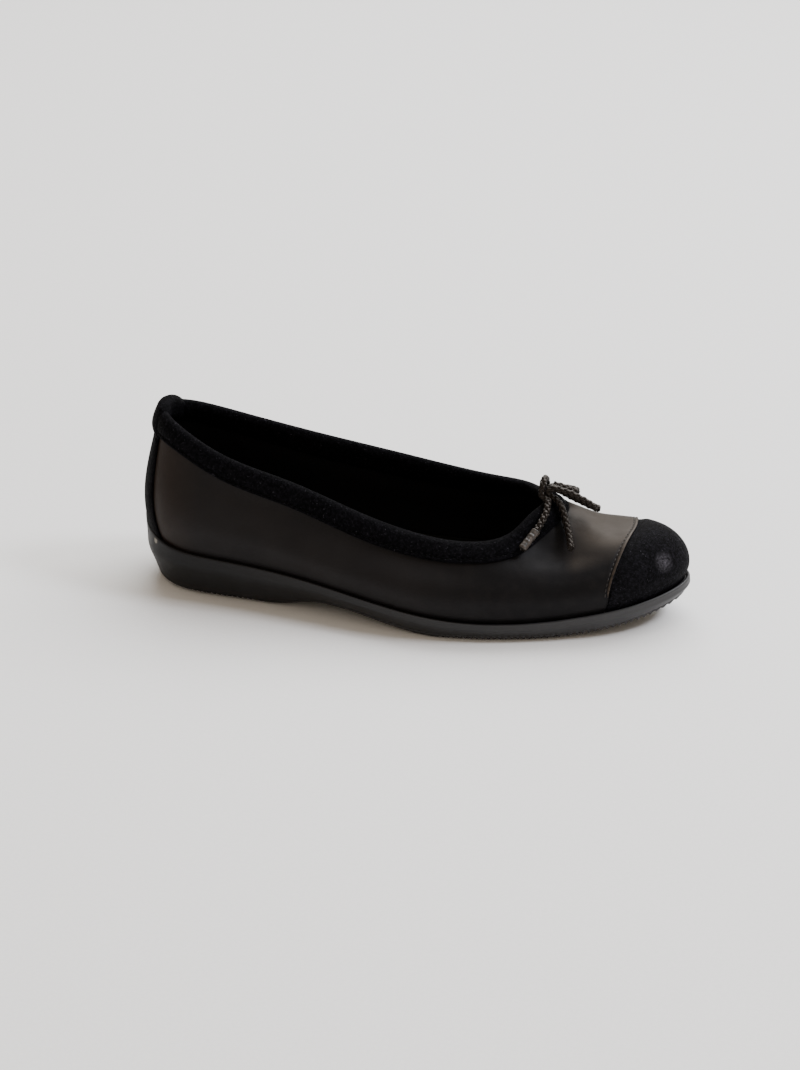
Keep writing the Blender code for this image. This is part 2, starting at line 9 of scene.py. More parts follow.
import bmesh
import bpy
import numpy as np
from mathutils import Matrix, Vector


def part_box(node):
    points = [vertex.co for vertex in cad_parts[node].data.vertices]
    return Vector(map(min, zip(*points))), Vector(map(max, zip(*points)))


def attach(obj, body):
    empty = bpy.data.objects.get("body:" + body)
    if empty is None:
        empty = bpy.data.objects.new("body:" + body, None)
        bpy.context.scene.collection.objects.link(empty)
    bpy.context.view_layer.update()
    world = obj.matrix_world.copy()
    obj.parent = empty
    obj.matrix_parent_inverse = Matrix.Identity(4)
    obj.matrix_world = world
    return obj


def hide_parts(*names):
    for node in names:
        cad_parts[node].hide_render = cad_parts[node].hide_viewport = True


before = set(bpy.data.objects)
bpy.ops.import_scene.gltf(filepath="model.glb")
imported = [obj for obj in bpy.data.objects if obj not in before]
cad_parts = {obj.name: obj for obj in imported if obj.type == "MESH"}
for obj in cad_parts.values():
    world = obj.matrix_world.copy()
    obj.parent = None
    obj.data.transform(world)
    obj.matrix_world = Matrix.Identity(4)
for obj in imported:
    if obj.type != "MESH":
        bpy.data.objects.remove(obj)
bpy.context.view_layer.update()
MM = 0.001

# Driving sizes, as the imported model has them
LENGTH = 0.240
BALL_WIDTH = 0.083
UPPER_HEIGHT = 0.056
SEAT_HEIGHT = 0.0200
CLEARANCE = 0.0003
WALL = 0.0018
COLLAR_WALL = 0.0012
TOE_WALL = 0.0034
STIFFENER_START = 0.030
STIFFENER_FULL = 0.012
SKIVE_LENGTH = 0.016
CAP_SEAM = 0.0245
CAP_SEAM_SWEEP = 0.0134
CAP_SEAM_SIDE = 0.005
BINDING_OUTSIDE = 0.0088
BINDING_INSIDE = 0.0090
BINDING_THICKNESS = 0.0011
BINDING_PUFF = 0.0007
STRIP_SPREAD = 0.0245
TAB_SPREAD = 0.0160
TAB_LEAN = 0.0038
STRIP_THICKNESS = 0.0010
TAB_PAD = 0.0024
TAB_TILT = 0.25
TAB_INSIDE = 0.0080
RIM_THICKNESS = 0.0014
RIM_HEIGHT = 0.0016
RIM_BACK_RISE = 0.0085
RIM_BACK_SPREAD = 0.020
WELT_STEP = 0.0005
WELT_HEIGHT = 0.0022
HEEL_END = 0.060
BREAST_RUN = 0.026
ARCH_RISE = 0.0043
UNDERCUT_HEEL = 0.0078
UNDERCUT_FOREPART = 0.0030
UNDERCUT_CHANGE = 0.076
FOREFOOT_START = 0.142
FOREFOOT_END = 0.176
TOE_SPRING = 0.0105
INSOLE_THICKNESS = 0.0020
INSOLE_LEAD = 0.004
CORD = 0.0034
RING_CROWDING = 0.40
STIFFENER_BACK = LENGTH - CAP_SEAM - STIFFENER_START
STIFFENER_FRONT = LENGTH - CAP_SEAM - STIFFENER_FULL
LOFT_SECTIONS = 72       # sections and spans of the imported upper's outer face
LOFT_SPANS = 8

# Finish that only shows up close
LEATHER_SHARE = 0.55     # of the wall; the rest is lining
LINING_GAP = 0.0001
LINING_UNDER_CAP = 0.0022
EDGE_MARGIN = 0.0006     # cap and lining start this far up from the foot of the upper
LAP_LIFT = 0.00012       # the vamp's folded edge stands this proud over the cap
LAP_WIDTH = 0.004        # the leather is pared thin where it laps the cap
LAP_THICKNESS = 0.0009
FOLD_WIDTH = 0.0010      # turned edge of the vamp, seen as a thin bead
FOLD_THICKNESS = 0.00016
TOE_RADIUS = 0.028       # how round the vamp is behind the cap
FEATHER_UP = 0.0002      # the upper turns in this far above the sole's rim
FEATHER_HALF = 0.0011    # half width of that turn
LEATHER_FEATHER = 0.00045
CAP_FEATHER = 0.00035
STITCH_TROUGH = 0.00022  # a stitch row pulls its material in this deep
CAP_TUCK = 0.0022        # the cap runs on this far under the vamp
CAP_DEPTH = 0.00070      # its face lies this deep there
CAP_RISE = 0.00050       # and comes up this much ahead of the seam
CAP_PUFF = 0.00045       # more above the rim, as the suede stands soft over the toe puff
CAP_THICKNESS = 0.0010
BINDING_START = 0.03     # share of the way round where the binding starts, beside the heel strip
BINDING_GAP = 0.0008
STRIP_STITCH = 0.0020    # stitch row inside each edge of the heel strip
SEAM_STITCH = 0.0017     # stitch row behind the vamp's edge
BINDING_STITCH = 0.0015  # stitch row above the binding's lower edge
STITCH = 0.0017
STITCH_GAP = 0.0006
THREAD = 0.00042
STITCH_ARCH = np.array([-0.8, 0.1, 0.45, 0.45, 0.1, -0.8])   # rise along a stitch, in half threads
STITCH_SIZE = np.array([0.55, 0.95, 1.0, 1.0, 0.95, 0.55])  # thickness along it, in half threads
STRANDS = 3              # strands turning each way in the braid
BRAID_PITCH = 0.0086     # length of one full turn of a strand
BRAID_STEP = 0.00032
TIP_LENGTH = 0.0105
RIB_PITCH = 0.0024
RIB_DEPTH = 0.0011

# Fineness of the meshes: sections round the shoe, rows in each, and rungs across
LEATHER_SECTIONS, LEATHER_ROWS = 420, 42
LINING_SECTIONS, LINING_ROWS = 240, 30
CAP_SECTIONS, CAP_ROWS = 150, 46
FOLD_SECTIONS = 260
BINDING_SECTIONS = 560
STRIP_SECTIONS, STRIP_STITCH_SPOTS = 56, 60
SOLE_SECTIONS, SOLE_RUNGS = 1200, 10
SOCK_SECTIONS, SOCK_RUNGS = 300, 8

# Where the finish and the painted light change: pattern sizes in millimetres, stretches of the frame's X in
# metres
NAP = 0.95
LINING_THREAD = 1.0
BROWN_BACK = (-0.114, -0.088)      # the leather is coloured browner behind this
SHADED_FOREPART = (-0.010, 0.045)    # and has painted shade ahead of this: coloured darker, as the forepart's sides get less light
PAINTED_LIGHT_TOWARD_TOE = (-0.11, 0.115)   # painted light: the rubber is coloured lighter toward the toe, which faces the key light
SHINE_TOWARD_TOE = (-0.11, 0.10)   # and is set more reflective, a painted sheen toward the toe
DUSTY_HEIGHT = 0.006
BOW_SHADE = (0.974, 0.225, 0.0)    # painted sheen on the vamp stops at a slanting line by the bow; behind it the sheen is left off as the bow's painted shadow
BOW_SHADE_END = 0.1835
BOW_SHADE_SOFT = 0.005
SCUFF_REACH = 0.0025
# reach of the painted highlight on the cap
CAP_HIGHLIGHT_REACH = 0.0050

# Lines up the upper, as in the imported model: columns as shares of the driving sizes
LINE_COLUMNS = (
    "foot_along", "foot_outer", "foot_inner", "top_along", "top_outer", "top_inner",
    "rise_outer", "rise_inner", "belly", "bend_in", "bend_up", "sag",
)
LINES = (
    (0.0125, 0.000, 0.000, 0.035, 0.000, 0.000, 1.000, 1.000, 0.036, 0.24, 0.70, 0.00),  # centre back
    (0.0290, 0.169, 0.169, 0.048, 0.102, 0.102, 0.985, 0.985, 0.038, 0.28, 0.70, 0.00),  # back
    (0.0710, 0.283, 0.283, 0.079, 0.169, 0.169, 0.940, 0.950, 0.045, 0.40, 0.70, 0.00),  # heel
    (0.1580, 0.343, 0.337, 0.158, 0.235, 0.241, 0.802, 0.855, 0.045, 0.50, 0.70, 0.00),  # heel front
    (0.3000, 0.386, 0.337, 0.300, 0.277, 0.315, 0.680, 0.732, 0.050, 0.50, 0.70, 0.00),  # waist
    (0.4300, 0.458, 0.380, 0.442, 0.325, 0.350, 0.562, 0.675, 0.050, 0.40, 0.70, 0.00),  # instep
    (0.5750, 0.518, 0.452, 0.590, 0.350, 0.355, 0.522, 0.642, 0.050, 0.35, 0.72, 0.00),  # ball
    (0.7080, 0.464, 0.476, 0.681, 0.285, 0.283, 0.575, 0.668, 0.040, 0.32, 0.72, 0.01),  # forepart
    (0.8290, 0.349, 0.400, 0.719, 0.172, 0.169, 0.640, 0.660, 0.030, 0.28, 0.58, 0.07),  # cap
    (0.9250, 0.205, 0.290, 0.737, 0.082, 0.082, 0.625, 0.635, 0.025, 0.19, 0.61, 0.060),  # toe corner
    (0.9875, -0.055, 0.055, 0.743, 0.000, 0.000, 0.575, 0.575, 0.018, 0.14, 0.67, 0.085),  # toe tip
)
SEAT = (
    (0.00, 1.000), (0.17, 0.930), (0.31, 0.800), (0.44, 0.610), (0.58, 0.425),
    (0.72, 0.365), (0.83, 0.470), (0.93, 0.660), (1.00, 0.850),
)

# The bow's two cords, in metres from the middle of the throat. The first leaves the collar's channel,
# lies under the knot, makes the outer loop and drops as the front end. The second makes the inner
# loop, wraps over the knot and drops as the outer end.
CHANNEL_EXIT = (
    (-0.0004, 0.0004, 0.0010), (-0.0022, 0.0004, 0.0024), (-0.0026, 0.0004, 0.0042),
)
OUTER_LOOP = (
    (-0.0010, 0.0005, 0.0055), (0.0020, 0.0011, 0.0057), (0.0055, 0.0016, 0.0042),
    (0.0095, 0.0018, 0.0022), (0.0140, 0.0019, 0.0003), (0.0180, 0.0017, -0.0012),
    (0.0206, 0.0004, -0.0014), (0.0200, -0.0017, -0.0002), (0.0167, -0.0026, 0.0021),
    (0.0126, -0.0028, 0.0042), (0.0086, -0.0028, 0.0058), (0.0046, -0.0029, 0.0068),
    (0.0014, -0.0030, 0.0070),
)
TURN_TO_FRONT_END = (
    (-0.0002, -0.0035, 0.0054), (0.0008, -0.0034, 0.0036),
)
FRONT_END = (
    (0.0026, -0.0032, 0.0028), (0.0042, -0.0040, 0.0020), (0.0060, -0.0060, 0.0007),
    (0.0077, -0.0083, -0.0019), (0.0092, -0.0108, -0.0045), (0.0105, -0.0134, -0.0066),
    (0.0116, -0.0162, -0.0084), (0.0125, -0.0190, -0.0098), (0.0134, -0.0218, -0.0111),
)
INNER_LOOP = (
    (0.0010, 0.0056, 0.0052), (0.0036, 0.0066, 0.0043), (0.0062, 0.0078, 0.0030),
    (0.0086, 0.0093, 0.0016), (0.0097, 0.0112, 0.0008), (0.0088, 0.0130, 0.0005),
    (0.0064, 0.0134, 0.0007), (0.0036, 0.0124, 0.0013), (0.0010, 0.0107, 0.0020),
    (-0.0008, 0.0085, 0.0028),
)
KNOT = (
    (-0.0025, 0.0045, 0.0040), (-0.0023, 0.0045, 0.0060), (-0.0022, 0.0034, 0.0086),
    (-0.0023, 0.0006, 0.0096), (-0.0025, -0.0022, 0.0086), (-0.0027, -0.0036, 0.0060),
    (-0.0022, -0.0046, 0.0040),
)
OUTER_END = (
    (0.0004, -0.0066, 0.0030), (0.0009, -0.0092, 0.0021), (0.0010, -0.0118, 0.0006),
    (0.0004, -0.0145, -0.0012), (-0.0007, -0.0174, -0.0033), (-0.0021, -0.0203, -0.0054),
    (-0.0037, -0.0232, -0.0073), (-0.0052, -0.0258, -0.0090), (-0.0063, -0.0278, -0.0104),
)


def second_slopes(knots, values):
    """Second derivatives of the natural cubic spline through the values."""
    count = len(knots)
    step = np.diff(knots)
    matrix = np.eye(count)
    right = np.zeros(values.shape)
    for i in range(1, count - 1):
        matrix[i, i - 1 : i + 2] = step[i - 1], 2 * (step[i - 1] + step[i]), step[i]
        rise_after = (values[i + 1] - values[i]) / step[i]
        rise_before = (values[i] - values[i - 1]) / step[i - 1]
        right[i] = 6 * (rise_after - rise_before)
    return np.linalg.solve(matrix, right)


def on_spline(knots, values, slopes, at):
    """Points of the spline at each place in at; beyond its ends it runs on straight."""
    at = np.atleast_1d(np.asarray(at, float))
    inside = np.clip(at, knots[0], knots[-1])
    i = np.clip(np.searchsorted(knots, inside) - 1, 0, len(knots) - 2)
    step = knots[i + 1] - knots[i]
    a = ((knots[i + 1] - inside) / step)[:, None]
    b = 1 - a
    step = step[:, None]
    point = a * values[i] + b * values[i + 1]
    point += ((a**3 - a) * slopes[i] + (b**3 - b) * slopes[i + 1]) * step**2 / 6
    slope = (values[i + 1] - values[i]) / step
    slope += ((1 - 3 * a**2) * slopes[i] + (3 * b**2 - 1) * slopes[i + 1]) * step / 6
    return point + slope * (at - inside)[:, None]


def smooth(at, start, end):
    """0 before start, 1 after end, with soft ends."""
    share = np.clip((np.asarray(at, float) - start) / (end - start), 0.0, 1.0)
    return share * share * (3 - 2 * share)


def hump(at, middle, spread):
    """1 at the middle, fading softly to 0 on both sides."""
    return np.exp(-(((np.asarray(at, float) - middle) / spread) ** 2))


def runs_along(points):
    """Distance run along a line at each of its points."""
    return np.concatenate([[0.0], np.cumsum(np.linalg.norm(np.diff(points, axis=0), axis=1))])


def unit(vectors):
    """The vectors, each at length one."""
    return vectors / np.linalg.norm(vectors, axis=1)[:, None]


def directions(points):
    """Unit direction of a line at each of its points."""
    return unit(np.gradient(points, axis=0))


SEAT_KNOTS = np.array([row[0] for row in SEAT])
SEAT_VALUES = np.array([[row[1]] for row in SEAT])
SEAT_SLOPES = second_slopes(SEAT_KNOTS, SEAT_VALUES)


def seat(x):
    """Height of the sole's edge, and of the seat inside it, at this distance from the heel."""
    shares = on_spline(SEAT_KNOTS, SEAT_VALUES, SEAT_SLOPES, np.asarray(x, float) / LENGTH)
    return SEAT_HEIGHT * shares[:, 0]


def tread(x):
    """Height of the sole's underside above the floor."""
    breast = smooth(x, HEEL_END, HEEL_END + BREAST_RUN)
    run_out = 1 - smooth(x, HEEL_END + BREAST_RUN, FOREFOOT_START)
    spring = np.clip(np.asarray(x, float) - FOREFOOT_END, 0.0, None) / (LENGTH - FOREFOOT_END)
    return ARCH_RISE * breast * run_out + TOE_SPRING * spring**2


def line_corners(row, side):
    """Foot, swell, shoulder, crown and top of one line; side is -1 for the outer and 1 for the inner."""
    size = dict(zip(LINE_COLUMNS, row))
    which = "outer" if side < 0 else "inner"
    foot = np.array([size["foot_along"] * LENGTH, side * size["foot_" + which] * BALL_WIDTH, 0.0])
    foot[2] = seat([foot[0]])[0]
    top = np.array([size["top_along"] * LENGTH, side * size["top_" + which] * BALL_WIDTH, 0.0])
    top[2] = foot[2] + size["rise_" + which] * UPPER_HEIGHT
    middle = np.array([min(max(foot[0], 0.13 * LENGTH), 0.80 * LENGTH), 0.0, foot[2]])
    outward = (foot - middle) / np.linalg.norm(foot - middle)
    up = np.array([0.0, 0.0, top[2] - foot[2]])
    across = top - foot - up
    swell = foot + 0.30 * up + outward * size["belly"] * UPPER_HEIGHT
    shoulder = foot + size["bend_up"] * up + size["bend_in"] * across
    crown = (shoulder + top) / 2
    crown[2] -= size["sag"] * UPPER_HEIGHT
    return np.array([foot, swell, shoulder, crown, top]).ravel()


def ring_tables():
    """Ring positions and corners of all the lines, round the outer side and back along the inner."""
    outer = [line_corners(row, -1) for row in LINES]
    inner = [line_corners(row, 1) for row in LINES]
    runs = [0.0]
    for i in range(1, len(LINES)):
        outer_step = np.linalg.norm(outer[i][:3] - outer[i - 1][:3])
        inner_step = np.linalg.norm(inner[i][:3] - inner[i - 1][:3])
        runs.append(runs[-1] + (outer_step + inner_step) / 2)
    places = [run / runs[-1] / 2 for run in runs]
    around = places + [1 - place for place in places[-2:0:-1]]
    corners = outer + inner[-2:0:-1]
    knots = [place - 1 for place in around] + around + [place + 1 for place in around]
    return np.array(knots), np.array(corners * 3), 2 * runs[-1]


RING_KNOTS, RING_VALUES, RING_LENGTH = ring_tables()
RING_SLOPES = second_slopes(RING_KNOTS, RING_VALUES)


@functools.lru_cache(maxsize=None)
def line(u):
    """Spline up the upper at ring position u: 0 at the back, 0.5 at the toe, outer side first."""
    corners = on_spline(RING_KNOTS, RING_VALUES, RING_SLOPES, u % 1.0).reshape(5, 3)
    knots = runs_along(corners)
    return knots, corners, second_slopes(knots, corners)


def line_length(u):
    """From the foot of line u to the collar."""
    return line(round(u, 9))[0][-1]


def skin_and_normal(u, ups):
    """Points ups metres from the foot of line u, and the leather's outward normals there."""
    ups = np.atleast_1d(np.asarray(ups, float))
    share = ups / line_length(u)
    before = line(round(u - 0.002, 9))
    after = line(round(u + 0.002, 9))
    across = on_spline(*after, share * after[0][-1]) - on_spline(*before, share * before[0][-1])
    upward = on_line(u, ups + 0.0005) - on_line(u, ups - 0.0005)
    return on_line(u, ups), unit(np.cross(across, upward))


def skin(u, ups, out=0.0):
    """Points ups metres from the foot of line u and out metres outside the leather."""
    spots, normals = skin_and_normal(u, ups)
    return spots + normals * np.reshape(out, (-1, 1))


def on_line(u, ups):
    """Points ups metres from the foot of line u, on the leather's face."""
    return on_spline(*line(round(u, 9)), ups)


def below_collar(u, down, out=0.0):
    """Points down metres below the collar on line u."""
    return skin(u, line_length(u) - np.asarray(down, float), out)


def foot_outward(u, out, height):
    """Points beside the foot of line u, out metres outside it in plan, at these heights."""
    ahead = on_line(u + 0.004, 0.0)[0]
    behind = on_line(u - 0.004, 0.0)[0]
    along = (ahead - behind)[:2] / np.linalg.norm((ahead - behind)[:2])
    foot = on_line(u, 0.0)[0]
    out, height = np.broadcast_arrays(np.atleast_1d(out), np.atleast_1d(height))
    return np.stack([foot[0] + along[1] * out, foot[1] - along[0] * out, height], axis=1)


def ring_place(share):
    """Ring position at this share of the way round; places crowd together at heel and toe."""
    return share - RING_CROWDING * math.sin(4 * math.pi * share) / (4 * math.pi)


def ring_places(count):
    return [ring_place(i / count) for i in range(count)]


def frame_offset():
    """From the maker's axes to the frame's, found where the upper's box lies in both."""
    points = []
    for u in ring_places(LOFT_SECTIONS):
        length = line_length(u)
        points.append(below_collar(u, [0.0, SKIVE_LENGTH, length - CLEARANCE]))
        rows = SKIVE_LENGTH + (length - SKIVE_LENGTH) * np.arange(LOFT_SPANS + 1) / LOFT_SPANS
        points.append(below_collar(u, rows))
    low = np.array(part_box("upper")[0])
    own = np.concatenate(points).min(axis=0)
    return np.array([low[0] - own[0], low[1] - own[1], 0.0])


OFFSET = frame_offset()
THROAT = below_collar(0.5, 0.0)[0]
SCUFF = np.array([0.0093, -0.0208, 0.0215]) + OFFSET    # the sole's scuffed back corner
CAP_HIGHLIGHT_SPOT = np.array([0.2289, -0.0091, 0.0295]) + OFFSET   # painted highlight on the cap, where the key light glints

# Camera, where the photo's stood: 13 degrees round from the outer side, 25 degrees up, 1.2 m away
CAMERA_AZIMUTH = math.radians(13)
CAMERA_RISE = math.radians(25)
CAMERA_DISTANCE = 1.2
CAMERA_AIM = np.array([0.11135, 0.00840, 0.02173])
CAMERA_LENS = 92.6


def place_camera():
    """Camera where the photo's stood, looking at the aim."""
    data = bpy.data.cameras.new("photo_camera")
    data.sensor_fit = "VERTICAL"
    data.sensor_height = 36.0
    data.lens = CAMERA_LENS
    data.clip_start = 0.05
    data.clip_end = 50.0
    camera = bpy.data.objects.new("photo_camera", data)
    away = np.array([
        math.sin(CAMERA_AZIMUTH) * math.cos(CAMERA_RISE),
        -math.cos(CAMERA_AZIMUTH) * math.cos(CAMERA_RISE),
        math.sin(CAMERA_RISE),
    ])
    camera.location = CAMERA_AIM + OFFSET + CAMERA_DISTANCE * away
    camera.rotation_euler = Vector(-away).to_track_quat("-Z", "Y").to_euler()
    bpy.context.scene.collection.objects.link(camera)
    bpy.context.scene.camera = camera


# Materials

def linear(colour):
    """Linear RGBA of an sRGB hex colour."""
    parts = [int(colour[i : i + 2], 16) / 255 for i in (1, 3, 5)]
    return (*[p / 12.92 if p <= 0.04045 else ((p + 0.055) / 1.055) ** 2.4 for p in parts], 1.0)


def add_node(tree, kind, settings=None, links=None):
    """Adds a node. Settings are its own properties or its inputs' values; links feed its inputs.

    A hex colour is made linear. A link comes from a socket, or from the first output of a node.
    """
    node = tree.nodes.new("ShaderNode" + kind)
    for name, value in (settings or {}).items():
        if isinstance(name, str) and hasattr(node, name):
            setattr(node, name, value)
        else:
            node.inputs[name].default_value = linear(value) if isinstance(value, str) else value
    for name, source in (links or {}).items():
        socket = source if isinstance(source, bpy.types.NodeSocket) else source.outputs[0]
        tree.links.new(socket, node.inputs[name])
    return node


def new_material(name):
    """A material, the function that adds nodes to it, and the place on the piece in metres."""
    material = bpy.data.materials.new(name)
    material.use_nodes = True
    material.node_tree.nodes.clear()
    add = functools.partial(add_node, material.node_tree)
    return material, add, add("TexCoord").outputs["Object"]


def finish_material(add, settings, links):
    """The shader and the material's output."""
    shader = add("BsdfPrincipled", settings, links)
    add("OutputMaterial", None, {"Surface": shader})


def per_metre(size_mm):
    """Texture scale that gives features of this size."""
    return 1000.0 / size_mm


def features(size_mm, detail=3.0, roughness=0.55):
    """Settings of a noise with features of this size."""
    return {"Scale": per_metre(size_mm), "Detail": detail, "Roughness": roughness}


def stretch(start, end, to_start=0.0, to_end=1.0):
    """Settings that stretch start..end to to_start..to_end and hold it at both."""
    return {"From Min": start, "From Max": end, "To Min": to_start, "To Max": to_end, "clamp": True}


def relief(depth_mm, strength=1.0):
    """Settings of a bump this deep."""
    return {"Distance": depth_mm * MM, "Strength": strength}


def coat(add, mask, start, end, under, over, cover=1.0):
    """Colour that goes from under to over as the mask goes from start to end, at most by cover."""
    settings = {"data_type": "RGBA"}
    links = {"Factor": add("MapRange", stretch(start, end, 0.0, cover), {"Value": mask})}
    for slot, colour in ((6, under), (7, over)):
        (settings if isinstance(colour, str) else links)[slot] = colour
    return add("Mix", settings, links).outputs[2]


def calf_leather():
    """Full-grain calf, drum dyed near black and browner at the back: dull sides, painted shade on the
    forepart, and a painted sheen on the vamp's upward faces, left off in the bow's painted shadow.
    """
    material, add, place = new_material("waxed_calf_leather")
    cloudy = add("TexNoise", features(34, 2.0), {"Vector": place})
    mottled = add("TexNoise", features(5, 4.0), {"Vector": place})
    along = add("SeparateXYZ", None, {"Vector": place}).outputs["X"]
    facing = add("NewGeometry").outputs["Normal"]
    upward = add("SeparateXYZ", None, {"Vector": facing}).outputs["Z"]
    slanting = add("VectorMath", {"operation": "DOT_PRODUCT", 1: BOW_SHADE}, {0: place}).outputs["Value"]
    end = float(np.dot(BOW_SHADE, OFFSET)) + BOW_SHADE_END
    # Painted sheen: faces turned up, ahead of the slanting line by the bow, get a warm colour and more
    # reflection for the back softbox; behind that line the sheen is left off as the bow's painted shadow
    on_top = add("MapRange", stretch(0.72, 0.95), {"Value": upward})
    clear_of_bow_shadow = add("MapRange", stretch(end - BOW_SHADE_SOFT, end), {"Value": slanting})
    painted_sheen = add("Math", {"operation": "MULTIPLY"}, {0: on_top, 1: clear_of_bow_shadow})
    quarter = coat(add, cloudy, 0.3, 0.7, "#171617", "#201e1e")
    # Painted shade: a darker copy of the leather for the forepart, where less light reaches its sides
    forepart = coat(add, cloudy, 0.3, 0.7, "#070708", "#0c0b0c")
    quarter = coat(add, along, *BROWN_BACK, "#2a221d", quarter)
    colour = coat(add, along, *SHADED_FOREPART, quarter, forepart)
    colour = coat(add, mottled, 0.45, 0.75, colour, "#1d1a19", 0.35)
    # painted sheen: warm colour where the vamp faces up, ahead of the bow
    colour = coat(add, painted_sheen, 0.0, 1.0, colour, "#1b1612")
    # Calf pores are about 0.2 mm apart, too fine for the photo's scale, so they are drawn 0.9 mm apart
    pores = add("TexVoronoi", {"Scale": per_metre(0.9), "Randomness": 1.0}, {"Vector": place})
    grain = add("Bump", relief(0.030, 0.5), {"Height": pores})
    for size_mm, detail, depth_mm, strength in ((0.35, 4.0, 0.020, 0.5), (7, 2.0, 0.16, 0.6)):
        height = add("TexNoise", features(size_mm, detail), {"Vector": place})
        grain = add("Bump", relief(depth_mm, strength), {"Height": height, "Normal": grain})
    waxing = add("TexNoise", features(9), {"Vector": place})
    finish_material(add, {"IOR": 1.38}, {
        "Base Color": colour,
        "Roughness": add("MapRange", stretch(0.3, 0.7, 0.50, 0.60), {"Value": waxing}),
        "Normal": grain,
        "Specular IOR Level": add("MapRange", stretch(0.0, 1.0, 0.21, 0.50), {"Value": painted_sheen}),
        "Specular Tint": coat(add, painted_sheen, 0.0, 1.0, "#f4f2f6", "#ebd6c0"),
    })
    return material


def napped_suede(name, clump, shine):
    """Split leather brushed to a nap, dyed black: matt and deep, with pale fibre tips catching light.

    Its fibres are finer than 0.1 mm and wouldn't show, so the tips are drawn as coarse as NAP.
    """
    material, add, place = new_material(name)
    tips = add("TexNoise", features(NAP, 5.0, 0.75), {"Vector": place})
    clumps = add("TexNoise", features(1.4 * NAP, 5.0, 0.85), {"Vector": place})
    brushed = add("TexNoise", features(6), {"Vector": place})
    # Painted highlight: near this spot on the cap the nap is coloured pale, where the key light glints
    away = add("VectorMath", {"operation": "DISTANCE", 1: tuple(CAP_HIGHLIGHT_SPOT)}, {0: place}).outputs["Value"]
    rubbed = add("MapRange", stretch(0.0012, CAP_HIGHLIGHT_REACH, 1.0, 0.0), {"Value": away})
    highlight_speckle = add("MapRange", stretch(0.35, 0.6), {"Value": tips})
    painted_highlight = add("Math", {"operation": "MULTIPLY"}, {0: rubbed, 1: highlight_speckle})
    colour = coat(add, brushed, 0.35, 0.7, "#020203", "#050507")
    colour = coat(add, clumps, 0.47, 0.60, colour, clump)
    colour = coat(add, painted_highlight, 0.0, 1.0, colour, "#4b494f")
    colour = coat(add, tips, 0.62, 0.71, colour, "#4c4a52")
    nap = add("Bump", relief(0.55), {"Height": tips})
    nap = add("Bump", relief(0.30, 0.4), {"Height": brushed, "Normal": nap})
    settings = {"Roughness": 0.70, "IOR": 1.15, "Specular IOR Level": shine}
    finish_material(add, settings, {"Base Color": colour, "Normal": nap})
    return material


def moulded_rubber():
    """Thermoplastic rubber from a spark-eroded mould: satin charcoal, dusty low down, scuffed at the back.

    The mould's grain is about 0.1 mm, too fine to show, and is drawn 0.7 mm wide.
    """
    material, add, place = new_material("moulded_rubber")
    dust = add("TexNoise", features(11, 4.0), {"Vector": place})
    specks = add("TexNoise", features(0.8, 4.0, 0.7), {"Vector": place})
    scratches = add("TexNoise", features(1.1, 3.0, 0.7), {"Vector": place})
    mould_skin = add("TexNoise", features(0.7), {"Vector": place})
    position = add("SeparateXYZ", None, {"Vector": place})
    along, above = position.outputs["X"], position.outputs["Z"]
    away = add("VectorMath", {"operation": "DISTANCE", 1: tuple(SCUFF)}, {0: place}).outputs["Value"]
    near = add("MapRange", stretch(0.0008, SCUFF_REACH, 1.0, 0.0), {"Value": away})
    worn = add("Math", {"operation": "MULTIPLY"}, {0: near, 1: scratches})
    # Painted light: both tones are lighter toward the toe, where the key light falls
    dark = coat(add, along, *PAINTED_LIGHT_TOWARD_TOE, "#0b0b0d", "#212124")
    pale = coat(add, along, *PAINTED_LIGHT_TOWARD_TOE, "#131315", "#2f2f31")
    colour = coat(add, dust, 0.35, 0.7, dark, pale)
    colour = coat(add, specks, 0.62, 0.8, colour, "#3a3938", 0.5)
    colour = coat(add, above, DUSTY_HEIGHT, 0.0, colour, "#2c2b2a", 0.25)
    colour = coat(add, worn, 0.30, 0.46, colour, "#7e7a72")
    finish_material(add, {"IOR": 1.48}, {
        "Base Color": colour,
        "Roughness": add("MapRange", stretch(0.3, 0.7, 0.44, 0.60), {"Value": dust}),
        "Normal": add("Bump", relief(0.05, 0.6), {"Height": mould_skin}),
        "Specular IOR Level": add("MapRange", stretch(*SHINE_TOWARD_TOE, 0.20, 0.52), {"Value": along}),
    })
    return material


def woven_lining(name, dark, light):
    """Brushed cotton lining: matt, faint weave, a little lint. Its threads are drawn 1 mm wide to show."""
    material, add, place = new_material(name)
    threads = []
    for way in ("X", "DIAGONAL"):
        settings = {"Scale": per_metre(LINING_THREAD) / 2, "bands_direction": way}
        threads.append(add("TexWave", settings, {"Vector": place}).outputs["Fac"])
    cloth = add("Math", {"operation": "MULTIPLY"}, {0: threads[0], 1: threads[1]})
    lint = add("TexNoise", features(1.2, 4.0, 0.75), {"Vector": place})
    colour = coat(add, cloth, 0.1, 0.9, dark, light)
    colour = coat(add, lint, 0.70, 0.82, colour, "#2a282c", 0.5)
    ribbing = add("Bump", relief(0.15, 0.5), {"Height": cloth})
    settings = {"Roughness": 0.92, "IOR": 1.25, "Sheen Weight": 0.02, "Sheen Roughness": 0.5}
    finish_material(add, settings, {"Base Color": colour, "Normal": ribbing})
    return material


def one_pattern(name, noise, limits, colours, bumps, settings):
    """A finish where one noise both turns the first colour into the second, and stands up."""
    material, add, place = new_material(name)
    pattern = add("TexNoise", noise, {"Vector": place})
    colour = coat(add, pattern, *limits, *colours)
    raised = add("Bump", bumps, {"Height": pattern})
    finish_material(add, settings, {"Base Color": colour, "Normal": raised})
    return material


